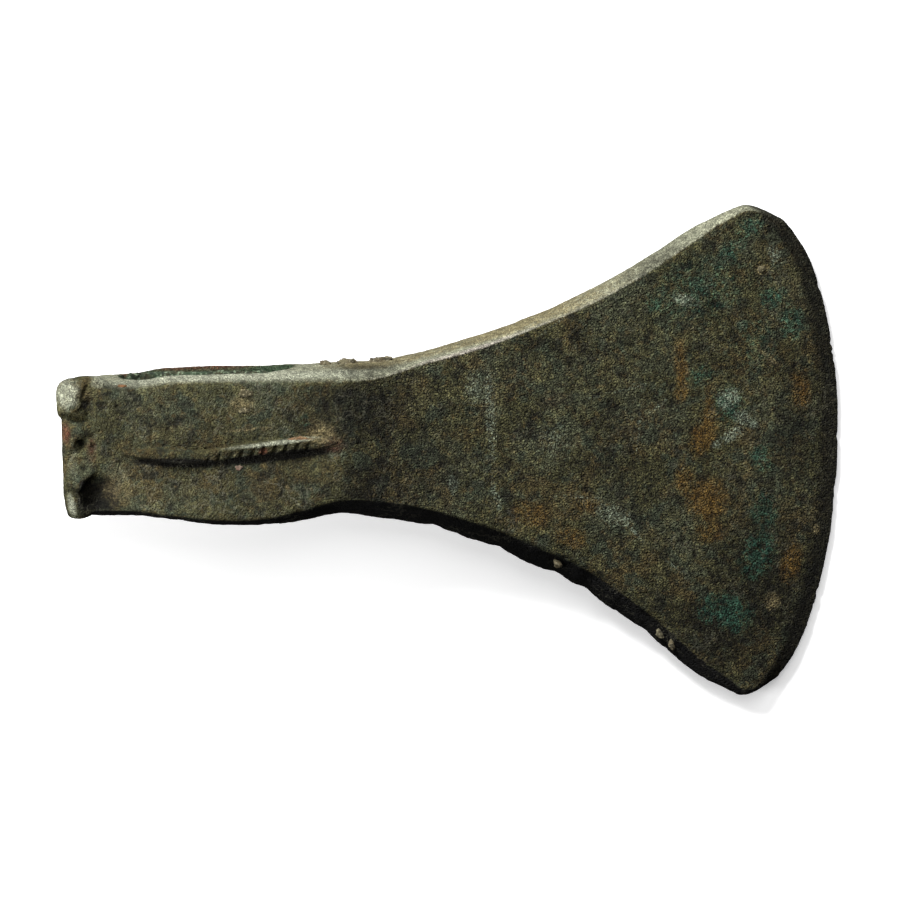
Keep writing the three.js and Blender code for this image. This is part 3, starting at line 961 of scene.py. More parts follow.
        # Crystals and crag splinters are too fine for the mesh
        grit, crag, wrinkle = heights
        height = add_node(tree, "ShaderNodeMath", {"operation": "ADD"}, {0: grit, 1: crag})
        height = add_node(tree, "ShaderNodeMath", {"operation": "MULTIPLY_ADD"}, {
            0: wrinkle, 1: self.wrinkle_bump, 2: height.outputs["Value"],
        })
        lively = add_node(tree, "ShaderNodeAttribute", {"attribute_name": "grain_share"})
        bump = add_node(tree, "ShaderNodeBump", None, {
            "Height": height.outputs["Value"], "Strength": lively.outputs["Fac"],
            "Distance": self.bump_mm * MM,
        })
        tree.links.new(bump.outputs["Normal"], shader.inputs["Normal"])


@dataclass(frozen=True)
class BurialCrust:
    """A mineral crust that the ground left on the bronze: matt, crumbly and never metallic."""

    name: str
    body: str
    light: str
    dark: str
    accent: str
    grain_mm: float = 0.5
    accent_mm: float = 3.0
    dirt_mm: float = 1.1
    splinter_share: float = 0.7
    bump_grain_mm: float = 0.25
    bump_mm: float = 0.05
    roughness: float = 0.92

    def build(self) -> bpy.types.Material:
        """Builds the crust's nodes.

        Returns:
            The material.
        """
        material, shader = new_material(self.name)
        tree = material.node_tree
        place = add_node(tree, "ShaderNodeTexCoord").outputs["Object"]
        # Wide clouds, dirt, pale grains and the dark splinters between them
        layers = (
            (self.accent_mm, (0.44, 0.58), self.accent, 0.75, 3.1),
            (self.dirt_mm, (0.46, 0.62), self.dark, 0.7, 5.3),
            (self.grain_mm, (0.5, 0.66), self.light, 0.8, 9.7),
            (self.grain_mm * self.splinter_share, (0.56, 0.7), self.dark, 0.7, 12.9),
        )
        colour = lay_clouds(tree, place, self.body, layers, 3, 0.6)
        tree.links.new(colour, shader.inputs["Base Color"])
        shader.inputs["Roughness"].default_value = self.roughness
        grit = add_node(tree, "ShaderNodeTexNoise", None, {
            "Vector": place, "Scale": 1 / (self.bump_grain_mm * MM), "Detail": 3,
        })
        bump = add_node(tree, "ShaderNodeBump", None, {
            "Height": grit.outputs["Fac"], "Strength": 1.0, "Distance": self.bump_mm * MM,
        })
        tree.links.new(bump.outputs["Normal"], shader.inputs["Normal"])
        return material


@dataclass
class CorrodedRelief:
    """The corroded skin as real relief: heights and lengths of its waves, lumps, grains and pits, in mm."""

    wave_height: float = 0.2
    wave_length: float = 13
    lump_height: float = 0.11
    lump_length: float = 2.9
    grain_height: float = 0.07
    grain_length: float = 0.8
    pit_depth: float = 0.2
    pit_spacing: float = 2.4
    pit_share: float = 0.4
    pit_rims: tuple[float, float] = (0.06, 0.34)
    roughness: float = 0.55
    seed: int = 7
    seed_step: float = 5.3

    def tree(self) -> tuple[bpy.types.NodeTree, dict[str, str], dict[str, float | int]]:
        """Builds the geometry tree that raises the relief.

        Returns:
            The tree, its inputs' identifiers, and its inputs' values in metres.
        """
        values = {
            "Wave height": self.wave_height * MM,
            "Wave length": self.wave_length * MM,
            "Lump height": self.lump_height * MM,
            "Lump length": self.lump_length * MM,
            "Grain height": self.grain_height * MM,
            "Grain length": self.grain_length * MM,
            "Pit depth": self.pit_depth * MM,
            "Pit spacing": self.pit_spacing * MM,
            "Seed": self.seed,
        }
        tree, identifiers, given = open_tree("corroded_relief", values)
        calm = add_node(tree, "GeometryNodeInputNamedAttribute", {"data_type": "FLOAT"}, {"Name": "calm"})
        lively = add_node(tree, "ShaderNodeMath", {"operation": "SUBTRACT"}, {0: 1.0, 1: calm.outputs[0]})

        total = None
        for number, (name, detail) in enumerate((("Wave", 2.0), ("Lump", 3.0), ("Grain", 2.0))):
            seed = add_node(tree, "ShaderNodeMath", {"operation": "ADD"}, {
                0: given["Seed"], 1: self.seed_step * number,
            })
            layer = add_waves(tree, seed.outputs["Value"], given[name + " length"], given[name + " height"],
                              detail, self.roughness)
            if name != "Wave":
                layer = add_node(tree, "ShaderNodeMath", {"operation": "MULTIPLY"}, {
                    0: layer, 1: lively.outputs["Value"],
                }).outputs["Value"]
            total = layer if total is None else add_node(
                tree, "ShaderNodeMath", {"operation": "ADD"}, {0: total, 1: layer}).outputs["Value"]

        # Pits sit at the cells' points; only cells with a dark colour get one
        place = add_node(tree, "GeometryNodeInputPosition").outputs["Position"]
        spacing = add_node(tree, "ShaderNodeMath", {"operation": "DIVIDE"}, {
            0: 1.0, 1: given["Pit spacing"],
        })
        cells = add_node(tree, "ShaderNodeTexVoronoi", None, {
            "Vector": place, "Scale": spacing.outputs["Value"], "Randomness": 1.0,
        })
        chosen = add_node(tree, "FunctionNodeSeparateColor", None, {"Color": cells.outputs["Color"]})
        has_pit = add_node(tree, "ShaderNodeMath", {"operation": "LESS_THAN"}, {
            0: chosen.outputs[0], 1: self.pit_share,
        })
        hollow = add_node(tree, "ShaderNodeMapRange", {"interpolation_type": "SMOOTHSTEP"}, {
            "Value": cells.outputs["Distance"], "From Min": self.pit_rims[0],
            "From Max": self.pit_rims[1], "To Min": 1.0, "To Max": 0.0,
        })
        pit = hollow.outputs["Result"]
        for share in (has_pit.outputs["Value"], lively.outputs["Value"], given["Pit depth"]):
            pit = add_node(tree, "ShaderNodeMath", {"operation": "MULTIPLY"}, {
                0: pit, 1: share,
            }).outputs["Value"]
        total = add_node(tree, "ShaderNodeMath", {"operation": "SUBTRACT"}, {
            0: total, 1: pit,
        }).outputs["Value"]

        sculpted = add_node(tree, "GeometryNodeInputNamedAttribute", {"data_type": "FLOAT"},
                            {"Name": "sculpted"})
        lifted = add_node(tree, "ShaderNodeMath", {"operation": "ADD"}, {
            0: total, 1: sculpted.outputs[0],
        })
        share = add_node(tree, "ShaderNodeMath", {"operation": "DIVIDE"}, {
            0: total, 1: given["Pit depth"],
        })
        stored = add_node(tree, "GeometryNodeStoreNamedAttribute", {
            "data_type": "FLOAT", "domain": "POINT",
        }, {
            "Geometry": given["Geometry"], "Name": "relief_share", "Value": share.outputs["Value"],
        })
        close_tree(tree, push_out(tree, stored.outputs["Geometry"], lifted.outputs["Value"]))
        return tree, identifiers, values


@dataclass
class NotchedRib:
    """The cast rib along the front cheek, with the notches cut across its far part, in millimetres."""

    shape: AxeShape
    upper_foot: float = 1.75
    crest: float = 0.95
    shoulder: float = -1.2
    lower_foot: float = -1.75
    height: float = 2.1
    shoulder_height: float = 1.45
    root: float = 1.0
    round_radius: float = 0.35
    notch_count: int = 11
    notch_start: float = 0.4
    notch_end: float = 0.91
    notch_width: float = 1.35
    notch_depth: float = 1.1
    notch_drop: float = 1.2
    notch_reach: float = 1.9
    notch_slant: float = 20
    notch_shift: tuple[float, float, float] = (0.22, 0, 0.12)
    least_notch: tuple[float, float, float] = (0.7, 0.9, 0.75)
    most_notch: tuple[float, float, float] = (1.35, 1.1, 1.2)
    line_steps: int = 170
    round_steps: int = 6
    profile_steps: int = 40
    seed: int = 3

    def build(self) -> bpy.types.Object:
        """Builds the rib as one closed mesh, through its geometry tree.

        Returns:
            The rib's object.
        """
        shape = self.shape
        share = np.linspace(0, 1, self.line_steps)
        x = shape.rib_from_butt + share * shape.rib_length
        y = shape.column(shape.rib_line_shares, 1, share) * shape.blade_rise
        out = shape.half_thickness(x) - shape.front_hollow(x, y) - shape.neck_hollow(x)
        edges = [(step, step + 1) for step in range(self.line_steps - 1)]
        line = make_object("rib_line", shape.placed(np.stack((x, y, out), axis=1)), [], edges)
        store_values(line.data, "swell", shape.column(shape.rib_line_shares, 2, share))
        return run_tree(line, *self._tree())

    def _tree(self) -> tuple[bpy.types.NodeTree, dict[str, str], dict[str, float | int]]:
        """Builds the geometry tree: a lopsided ridge swept along the line, less its notches.

        Returns:
            The tree, its inputs' identifiers, and its inputs' values.
        """
        values = {
            "Upper foot": self.upper_foot * MM,
            "Crest": self.crest * MM,
            "Shoulder": self.shoulder * MM,
            "Lower foot": self.lower_foot * MM,
            "Height": self.height * MM,
            "Shoulder height": self.shoulder_height * MM,
            "Root depth": -self.root * MM,
            "Round radius": self.round_radius * MM,
            "Notch count": self.notch_count,
            "Notch start": self.notch_start,
            "Notch end": self.notch_end,
            "Notch width": self.notch_width * MM,
            "Notch depth": self.notch_depth * MM,
            "Notch drop": self.notch_drop * MM,
            "Notch reach": self.notch_reach * MM,
            "Notch slant": math.radians(self.notch_slant),
            "Seed": self.seed,
        }
        tree, identifiers, given = open_tree("notched_rib", values)
        swell = add_node(tree, "GeometryNodeInputNamedAttribute", {"data_type": "FLOAT"}, {"Name": "swell"})
        path = add_node(tree, "GeometryNodeMeshToCurve", None, {"Mesh": given["Geometry"]})
        sized = add_node(tree, "GeometryNodeSetCurveRadius", None, {
            "Curve": path.outputs["Curve"], "Radius": swell.outputs[0],
        })
        upright = add_node(tree, "GeometryNodeSetCurveNormal", {"mode": "Z_UP"}, {
            "Curve": sized.outputs["Curve"],
        })
        # The crest lies near the upper edge, and the lower flank falls off steeply from its shoulder
        corners = {}
        outline = (("Upper foot", "Root depth"), ("Crest", "Height"), ("Shoulder", "Shoulder height"),
                   ("Lower foot", "Root depth"))
        for number, (across, up) in enumerate(outline):
            corner = add_node(tree, "ShaderNodeCombineXYZ", None, {"X": given[across], "Y": given[up]})
            corners[f"Point {number + 1}"] = corner.outputs["Vector"]
        ridge = add_node(tree, "GeometryNodeCurvePrimitiveQuadrilateral", {"mode": "POINTS"}, corners)
        eased = add_node(tree, "GeometryNodeFilletCurve", {"mode": "POLY"}, {
            "Curve": ridge.outputs["Curve"], "Count": self.round_steps,
            "Radius": given["Round radius"], "Limit Radius": True,
        })
        fine = add_node(tree, "GeometryNodeResampleCurve", {"mode": "COUNT"}, {
            "Curve": eased.outputs["Curve"], "Count": self.profile_steps,
        })
        # The sweep turns a profile by half a turn, so it is turned back first
        profile = add_node(tree, "GeometryNodeTransform", None, {
            "Geometry": fine.outputs["Curve"], "Rotation": (0.0, 0.0, math.pi),
        })
        swept = add_node(tree, "GeometryNodeCurveToMesh", None, {
            "Curve": upright.outputs["Curve"], "Profile Curve": profile.outputs["Geometry"],
            "Scale": swell.outputs[0], "Fill Caps": True,
        })
        # Notches stand evenly between the two shares of the line, each a little off its place
        cut_part = add_node(tree, "GeometryNodeTrimCurve", {"mode": "FACTOR"}, {
            "Curve": upright.outputs["Curve"], "Start": given["Notch start"], "End": given["Notch end"],
        })
        stops = add_node(tree, "GeometryNodeCurveToPoints", {"mode": "COUNT"}, {
            "Curve": cut_part.outputs["Curve"], "Count": given["Notch count"],
        })
        wander = add_node(tree, "FunctionNodeRandomValue", {"data_type": "FLOAT_VECTOR"}, {
            "Min": tuple(-shift * MM for shift in self.notch_shift),
            "Max": tuple(shift * MM for shift in self.notch_shift), "Seed": given["Seed"],
        })
        drop = add_node(tree, "ShaderNodeMath", {"operation": "MULTIPLY"}, {0: given["Notch drop"], 1: -1.0})
        lift = add_node(tree, "ShaderNodeCombineXYZ", None, {
            "Y": drop.outputs["Value"], "Z": given["Height"],
        })
        shifted = add_node(tree, "ShaderNodeVectorMath", {"operation": "ADD"}, {
            0: wander.outputs["Value"], 1: lift.outputs["Vector"],
        })
        raised = add_node(tree, "GeometryNodeSetPosition", None, {
            "Geometry": stops.outputs["Points"], "Offset": shifted.outputs["Vector"],
        })
        blade = add_node(tree, "GeometryNodeMeshIcoSphere", None, {"Radius": 1.0, "Subdivisions": 3})
        half_notch = add_node(tree, "ShaderNodeMath", {"operation": "MULTIPLY"}, {
            0: given["Notch width"], 1: 0.5,
        })
        size = add_node(tree, "ShaderNodeCombineXYZ", None, {
            "X": half_notch.outputs["Value"], "Y": given["Notch reach"], "Z": given["Notch depth"],
        })
        slant = add_node(tree, "ShaderNodeMath", {"operation": "MULTIPLY"}, {
            0: given["Notch slant"], 1: -1.0,
        })
        lean = add_node(tree, "ShaderNodeCombineXYZ", None, {"Z": slant.outputs["Value"]})
        cutter = add_node(tree, "GeometryNodeTransform", None, {
            "Geometry": blade.outputs["Mesh"], "Scale": size.outputs["Vector"],
            "Rotation": lean.outputs["Vector"],
        })
        vary = add_node(tree, "FunctionNodeRandomValue", {"data_type": "FLOAT_VECTOR"}, {
            "Min": self.least_notch, "Max": self.most_notch, "Seed": given["Seed"],
        })
        cutters = add_node(tree, "GeometryNodeInstanceOnPoints", None, {
            "Points": raised.outputs["Geometry"], "Instance": cutter.outputs["Geometry"],
            "Scale": vary.outputs["Value"],
        })
        real = add_node(tree, "GeometryNodeRealizeInstances", None, {
            "Geometry": cutters.outputs["Instances"],
        })
        notched = add_node(tree, "GeometryNodeMeshBoolean", {
            "operation": "DIFFERENCE", "solver": "MANIFOLD",
        }, {
            "Mesh 1": swept.outputs["Mesh"], "Mesh 2": real.outputs["Geometry"],
        })
        close_tree(tree, notched.outputs["Mesh"])
        return tree, identifiers, values


@dataclass(frozen=True)
class WearMap:
    """Where the casting is rubbed, dark, green or calm, and where light and shade are painted on it.

    A fade is its start and its end, and a triple is a place along, a reach and a strength. Lengths are in
    millimetres of the casting's frame.
    """

    # Shares of the distance to the root where the socket's calmer grain fades
    socket_end_shares: tuple[float, float] = (0.9, 1.15)
    # Shares of the half thickness between which a cheek begins, for its stains and for its marks
    cheek_shares: tuple[float, float] = (0.2, 0.5)
    sculpted_shares: tuple[float, float] = (0.35, 0.7)
    # How far each side of its arris the upper side's wear and painted light fade, and how much further on the
    # socket
    above_arris: tuple[float, float] = (0.25, 1.3)
    below_arris: tuple[float, float] = (0.35, 0.5)
    upper_fade: tuple[float, float] = (5.5, 9)
    lower_margin: float = 0.3
    lower_fade: tuple[float, float] = (4, 8)
    # How the lower side's painted shade fades in across the thickness
    lower_dark_fade: tuple[float, float] = (-4, 0)
    # Middle of the painted highlight line, pale with wear, beyond the upper arris, and its reach
    arris_line: tuple[float, float] = (0.1, 0.36)
    arris_socket_loss: float = 0.8
    arris_least: float = 0.45
    arris_neck: tuple[float, float, float] = (84, 9, 0.55)
    arris_fade: tuple[float, float] = (125, 140)
    arris_fade_loss: float = 0.7
    wall_fade_shares: tuple[float, float] = (1.02, 1.1)
    # How far behind the cutting edge its painted shade fades
    edge_fade: tuple[float, float] = (2.0, 6.5)
    olive_blade: tuple[float, float, float] = (92, 26, 1.0)
    olive_neck: tuple[float, float, float] = (62, 9, 0.8)
    olive_fade: tuple[float, float] = (4, 9)
    calm_socket: float = 0.45
    calm_upper: float = 0.5
    # The relief is calmer on the worn arris, behind the edge and on the rubbed lobe
    smooth_arris_fade: tuple[float, float] = (-0.2, 0.5)
    smooth_arris: float = 0.15
    smooth_edge_fade: tuple[float, float] = (3.0, 6.0)
    smooth_edge: float = 0.5
    smooth_lobe: float = 0.3
    smooth_lobe_at: tuple[float, float] = (3.0, 13.3)
    smooth_lobe_reach: tuple[float, float] = (3, 3.4)
    most_smooth: float = 0.9
    # How sharply a stain's rim fades
    stain_power: float = 1.3
    stain_fall: float = 0.9


@dataclass
class BronzeCasting:
    """The one casting: body, haft hole, notched rib, battered butt and corroded skin."""

    shape: AxeShape
    patina: BuriedBronzePatina
    relief: CorrodedRelief = field(default_factory=CorrodedRelief)
    wear: WearMap = field(default_factory=WearMap)
    ring_steps: int = 300
    side_steps: int = 26
    cheek_steps: int = 120
    butt_rings: int = 14
    voxel: float = 0.3
    most_triangles: int = 194000
    hole_round_steps: int = 40
    butt_soft_reach: float = 9.5
    butt_soft_steps: int = 5
    edge_soft_steps: int = 2
    arris_soft_steps: int = 44
    arris_soft_reach: float = 2.4
    arris_soft_share: float = 1.2
    # How far past a corner the edge's bow still counts, as a share of the way to it
    most_away: float = 1.3
    soft_factor: float = 0.5
    lump_facets: int = 4
    lump_pattern: float = 1.6
    lump_unevenness: float = 0.16
    lump_seeds: tuple[float, float] = (3.1, 1.7)
    # Nicks of the lower side and of the cutting edge: place, reach and depth
    side_nicks: tuple[tuple[float, float, float], ...] = (
        (76.6, 1.6, 0.5), (90.0, 1.2, 0.4), (102.0, 1.8, 0.55), (108.0, 1.3, 0.5), (120.5, 1.4, 0.45),
        (84.0, 2.0, -0.3), (96.0, 2.2, -0.3), (112.5, 2.0, -0.25),
    )
    side_nick_fade: tuple[float, float] = (-0.2, 0.8)
    edge_nicks: tuple[tuple[float, float, float], ...] = (
        (21.5, 0.5, 0.35), (19.6, 0.4, 0.3), (17.9, 0.45, 0.25), (2.0, 0.6, 0.2), (-9.0, 0.7, 0.2),
        (-30.5, 0.6, 0.3), (33.0, 0.7, 0.25),
    )
    edge_nick_fade: tuple[float, float] = (0.2, 1.2)
    lumps: tuple[ButtLump, ...] = (
        # The block of the butt end, then the lobe, its fold and the folds below it
        ButtLump(4.6, 1.9, 7.6, 3.45, 12.9, 3.45, "UNION", 0.36),
        ButtLump(3.2, 12.7, 8.3, 3.1, 4.1, 4.3),
        ButtLump(6.6, 15.0, 7.6, 3.6, 2.2, 3.7),
        ButtLump(3.9, 4.6, 8.2, 2.6, 4.3, 3.7),
        ButtLump(4.1, -2.6, 8.2, 2.8, 3.6, 3.9),
        ButtLump(4.5, -7.9, 7.8, 3.0, 3.8, 3.6),
        # The steps beside and under the lobe, the gaps between the folds, and the great hollow
        ButtLump(6.7, 11.4, 12.9, 0.9, 3.4, 2.2, "DIFFERENCE"),
        ButtLump(5.0, 8.9, 13.0, 3.2, 0.8, 2.7, "DIFFERENCE"),
        ButtLump(5.2, 3.0, 13.0, 1.4, 1.6, 2.3, "DIFFERENCE"),
        ButtLump(4.9, 0.7, 12.9, 2.0, 0.6, 2.0, "DIFFERENCE"),
        ButtLump(8.4, -6.6, 13.4, 4.0, 4.4, 3.9, "DIFFERENCE"),
    )
    strokes: tuple[Stroke, ...] = (
        # Crack beside the folded lobe, then under it
        Stroke(((6.2, 15.6), (5.7, 14.0), (5.2, 12.9), (5.8, 12.1), (5.4, 11.3)), 0.28, -0.9),
        Stroke(((5.6, 11.4), (4.4, 10.2), (3.0, 9.7), (1.6, 9.5)), 0.45, -0.8),
        # Hairline cracks of the cheek
        Stroke(((19.1, 6.5), (18.8, 4.9), (18.5, 3.1)), 0.14, -0.3),
        Stroke(((15.5, 5.1), (15.2, 3.5), (14.9, 2.2)), 0.16, -0.35),
        # Ridge above the great hollow of the butt
        Stroke(((7.1, -1.5), (6.1, -2.4), (5.0, -3.4), (4.3, -4.9)), 0.7, 0.8),
        Stroke(((6.6, -3.2), (5.7, -4.3), (5.0, -5.5)), 0.5, -0.9),
        # Scratches on the blade
        Stroke(((110.5, -3.0), (118.5, 2.5)), 0.12, -0.06),
        Stroke(((113.0, -18.0), (121.5, -13.5)), 0.12, -0.07),
        Stroke(((104.0, -8.0), (112.0, -9.0), (121.0, -7.0)), 0.12, -0.06),
        Stroke(((144.0, 19.8), (148.2, 16.9)), 0.3, 0.12),
        Stroke(((116.5, 5.0), (128.0, 9.5)), 0.1, -0.05),
    )
    dents: tuple[Dent, ...] = (
        Dent(134.1, 29.8, 1.3, 0.7, -20, -0.55),
        Dent(130.4, -21.8, 0.5, 0.9, 20, -0.5),
        Dent(127.4, 31.0, 1.6, 1.0, 0, 0.25),
        Dent(7.4, 3.3, 0.8, 0.6, 10, -0.7),
        Dent(7.1, 5.4, 0.6, 0.5, 0, -0.6),
        Dent(4.8, 4.0, 1.1, 1.0, 0, -0.9),
        Dent(3.4, 2.3, 0.8, 0.9, 0, -0.7),
        Dent(12.5, -1.6, 2.4, 1.4, 10, -0.25),
        Dent(22.0, 12.5, 5.0, 2.4, 8, -0.2),
        Dent(41.0, -9.0, 6.0, 2.6, -4, 0.22),
        Dent(79.7, -5.5, 0.9, 1.5, 10, 0.12),
    )
    spots: tuple[StainSpot, ...] = (
        # Ochre down the middle of the blade
        *spots_of(
            Stain.OCHRE, (127.2, 17, 1.6, 6.5, 6, 1.0), (127.0, 11.5, 1.5, 1.8, 0, 1.0),
            (132.0, 3.0, 2.6, 4.4, -25, 1.25), (133.3, 9.0, 1.6, 4.0, -5, 0.85),
            (133.0, -10.5, 4.4, 4.6, -20, 1.2), (128.0, -6.0, 2.2, 4.0, 15, 0.85),
            (133.5, -17.0, 3.6, 2.6, 0, 0.8), (96.0, -12.0, 4.5, 3.6, -25, 0.75),
            (104.0, -17.0, 4.5, 2.4, -25, 0.75), (108.0, -11.0, 3.0, 2.2, 0, 0.7),
            (152.5, 12.0, 2.4, 5.0, 10, 0.75), (151.0, -24.0, 2.5, 5.0, -10, 0.8),
        ),
        # Powdery green along the lower corner and behind the edge
        *spots_of(
            Stain.VERDIGRIS, (138.0, -34.0, 5.0, 3.6, -30, 1.0), (133.5, -33.0, 2.6, 3.2, 0, 0.9),
            (143.8, -22.0, 3.6, 5.6, -20, 0.95), (145.0, -13.0, 3.0, 4.0, 0, 0.85),
            (144.5, -2.0, 3.0, 3.4, 0, 0.8), (137.0, 9.0, 3.6, 4.2, 0, 0.85),
            (131.0, 15.5, 3.0, 2.2, 0, 0.8), (150.5, 26.0, 2.6, 4.0, 10, 1.0),
            (146.5, 31.0, 3.0, 2.6, 0, 0.85), (121.5, 30.0, 2.2, 1.8, 0, 1.0),
            (141.0, 45.5, 3.4, 2.2, 20, 0.9), (137.5, 41.0, 3.6, 2.0, 30, 0.75),
            (99.0, -21.0, 1.6, 0.9, -20, 1.0), (49.8, 8.2, 1.4, 1.8, 0, 0.5),
            (131.0, 33.0, 12.0, 8.0, 20, 0.5), (143.0, 22.0, 6.0, 9.0, 0, 0.45),
        ),
        # Whitish green films and the streak across the neck
        *spots_of(
            Stain.LIME, (87.3, 9.0, 1.4, 11.5, 4, 0.55), (84.0, 14.0, 2.2, 3.6, 0, 0.5),
            (88.5, -8.0, 0.9, 4.2, 12, 0.5), (79.7, -5.5, 1.0, 2.2, 12, 0.95),
            (127.4, 31.0, 2.4, 1.2, -15, 1.0), (137.2, 10.5, 2.4, 2.0, 20, 1.0),
            (140.0, 6.5, 1.8, 1.6, -20, 1.0), (138.0, 3.0, 2.6, 1.2, 30, 1.0),
            (142.5, 5.0, 1.2, 0.9, 0, 0.9), (134.5, 1.0, 1.2, 0.7, 0, 0.9),
            (113.5, -13.0, 4.5, 2.2, -20, 0.65), (146.5, 40.0, 1.4, 2.4, 20, 0.7),
            (100.0, 3.0, 5.0, 5.0, 0, 0.35),
        ),
        # Pale scratches of the blade
        *spots_of(
            Stain.LIME, (114.0, 12.6, 8.0, 0.25, 12, 0.7), (118.3, 5.0, 0.25, 6.5, -4, 0.65),
            (122.0, 9.0, 5.5, 0.25, 38, 0.65), (106.0, -9.0, 6.5, 0.25, -6, 0.7),
            (118.0, -17.0, 5.0, 0.3, -48, 0.8), (126.0, -24.0, 4.0, 0.3, -35, 0.6),
            (100.0, 26.0, 4.0, 0.3, 35, 0.6),
        ),
        # Tan patches
        *spots_of(
            Stain.TAN, (144.0, 36.8, 1.3, 1.1, 0, 1.3), (145.9, 18.7, 2.6, 0.6, -38, 1.1),
            (147.0, -32.0, 1.8, 2.0, 0, 0.9), (156.2, -17.4, 0.9, 1.2, 0, 0.95),
            (53.0, 5.0, 3.2, 3.0, 0, 0.8), (46.3, -5.5, 0.35, 0.35, 0, 1.4),
            (38.6, 6.4, 5.0, 0.35, 4, 0.95), (37.0, 11.5, 3.4, 2.2, 0, 0.7),
            (43.0, -13.0, 6.0, 1.0, -12, 0.9), (12.8, 15.7, 1.4, 0.6, 0, 0.8),
            (12.0, -4.0, 4.0, 5.0, 0, 0.5), (28.0, -6.0, 9.0, 4.5, 0, 0.3),
        ),
        # Red-brown earth in the crevices
        *spots_of(
            Stain.RUST, (41.2, 2.1, 1.0, 0.7, 10, 1.3), (9.5, -12.0, 1.2, 0.9, 0, 1.2),
            (55.5, 3.0, 3.0, 2.0, 0, 0.6), (100.0, 11.0, 4.5, 2.5, 10, 0.42), (7.0, 2.6, 1.2, 3.6, 0, 0.6),
            (1.8, 6.2, 1.0, 2.4, 0, 1.0),
        ),
        *spots_of(
            Stain.RUST, (30.0, -8.6, 16.0, 1.9, 0, 1.4), (14.0, -5.0, 4.5, 2.6, 0, 0.9), face=Face.UPPER,
        ),
        # Painted shade: dark hollows of the butt and the dents, the shaded neck and socket, the lower right
        # of the blade, and a painted shadow under the rib
        *spots_of(
            Stain.SOOT, (6.8, -7.5, 3.0, 4.0, 10, 1.6), (5.6, -4.2, 1.0, 1.8, 25, 1.0),
            (5.9, 11.8, 1.1, 0.9, 0, 1.2), (4.9, 4.0, 0.9, 0.9, 0, 1.0), (134.1, 29.8, 1.3, 0.7, -20, 1.1),
            (130.4, -21.8, 0.5, 1.0, 20, 1.1), (60.0, 10.0, 17.0, 9.0, 0, 0.75),
            (62.0, -6.0, 7.0, 9.0, 0, 0.75), (72.0, 0.0, 12.0, 16.0, 0, 0.55),
            (30.0, 3.0, 34.0, 16.0, 0, 0.42), (9.5, -7.0, 3.4, 4.6, 0, 1.1),
            (146.0, -28.0, 15.0, 17.0, 0, 0.75), (136.0, -38.0, 12.0, 9.0, -30, 0.8),
            (152.0, 5.0, 6.0, 20.0, 0, 0.65), (40.0, -6.0, 24.0, 7.0, 0, 0.5),
            (44.0, 0.9, 11.5, 0.95, 6, 2.0), (24.5, -0.1, 8.5, 0.9, -2, 2.0),
        ),
        # Painted shade on the upper side of the neck and the blade
        *spots_of(
            Stain.SOOT, (62.0, 7.0, 10.0, 6.0, 0, 0.7), (122.0, 5.0, 10.0, 7.0, 0, 0.65), face=Face.UPPER,
        ),
        # The pale rubbed lobe and rim of the butt, and a painted highlight along the rib's crest
        *spots_of(
            Stain.PALE, (2.2, 14.2, 2.6, 3.2, 0, 0.95), (3.4, 1.0, 1.4, 6.0, 0, 0.35),
            (2.9, -8.4, 0.8, 2.6, 12, 0.95), (43.5, 3.7, 9.5, 0.45, 6, 1.0),
        ),
        # Painted light on the upper side of the socket
        *spots_of(
            Stain.PALE, (32.0, 8.2, 26.0, 2.8, 0, 1.6), face=Face.UPPER,
        ),
    )

    def build(self) -> bpy.types.Object:
        """Builds and dresses the casting.

        Returns:
            The finished piece.
        """
        casting = self._body()
        combine(casting, self._hole_cutter(), "DIFFERENCE")
        for number, lump in enumerate(self.lumps):
            combine(casting, self._lump(number, lump), lump.operation)
        even_out(casting, self.voxel)
        self._ease(casting)
        combine(casting, NotchedRib(self.shape).build(), "UNION")
        self._sculpt(casting)
        run_tree(casting, *self.relief.tree())
        self._thin(casting)
        self._mark(casting)
        dress(casting, self.patina.build())
        return casting

    def _body(self) -> bpy.types.Object:
        """Lofts the body from its cross-sections, closed at the butt and at the cutting edge.

        Returns:
            The body's object.
        """
        shape = self.shape
        steps = (self.side_steps, self.cheek_steps, self.cheek_steps)
        first, last = shape.station_shares[0][0], shape.station_shares[-1][0]
        rings = []
        for step in range(1, self.butt_rings + 1):
            size = shape.butt_end_share * step / self.butt_rings
            rings.append(shape.section(first, size, shape.butt_setback, steps))
        reach = first * shape.length - shape.butt_setback
        for step in range(1, self.butt_rings):
            turn = step / self.butt_rings * math.pi / 2
            size = shape.butt_end_share + (1 - shape.butt_end_share) * math.sin(turn)
            at = shape.butt_setback + reach * (1 - math.cos(turn))
            rings.append(shape.section(first, size, at, steps))
        for share in np.linspace(first, last, self.ring_steps):
            rings.append(shape.section(float(share), 1, float(share) * shape.length, steps))
        return make_object("bronze_casting_skin", *self._skinned(rings))

    def _skinned(self, rings: list[np.ndarray]) -> tuple[np.ndarray, list]:
        """Spans faces between cross-sections, closed by a fan at the butt and a strip at the edge.

        Args:
            rings: The cross-sections in order, each with as many points.

        Returns:
            The placed points and the faces.
        """
        size = len(rings[0])
        points = np.concatenate(rings)
        faces = []
        for ring in range(len(rings) - 1):
            base = ring * size
            for step in range(size):
                beside = (step + 1) % size
                faces.append((base + step, base + size + step, base + size + beside, base + beside))
        hub = len(points)
        points = np.concatenate((points, [rings[0].mean(0)]))
        faces += [(hub, step, (step + 1) % size) for step in range(size)]
        base = (len(rings) - 1) * size
        for step in range(size // 2):
            front, front_next = base + step, base + step + 1
            back, back_next = base + (size - step) % size, base + size - step - 1
            # At the crests two corners are one point
            faces.append(tuple(dict.fromkeys((front, back, back_next, front_next))))
        return self.shape.placed(points), faces

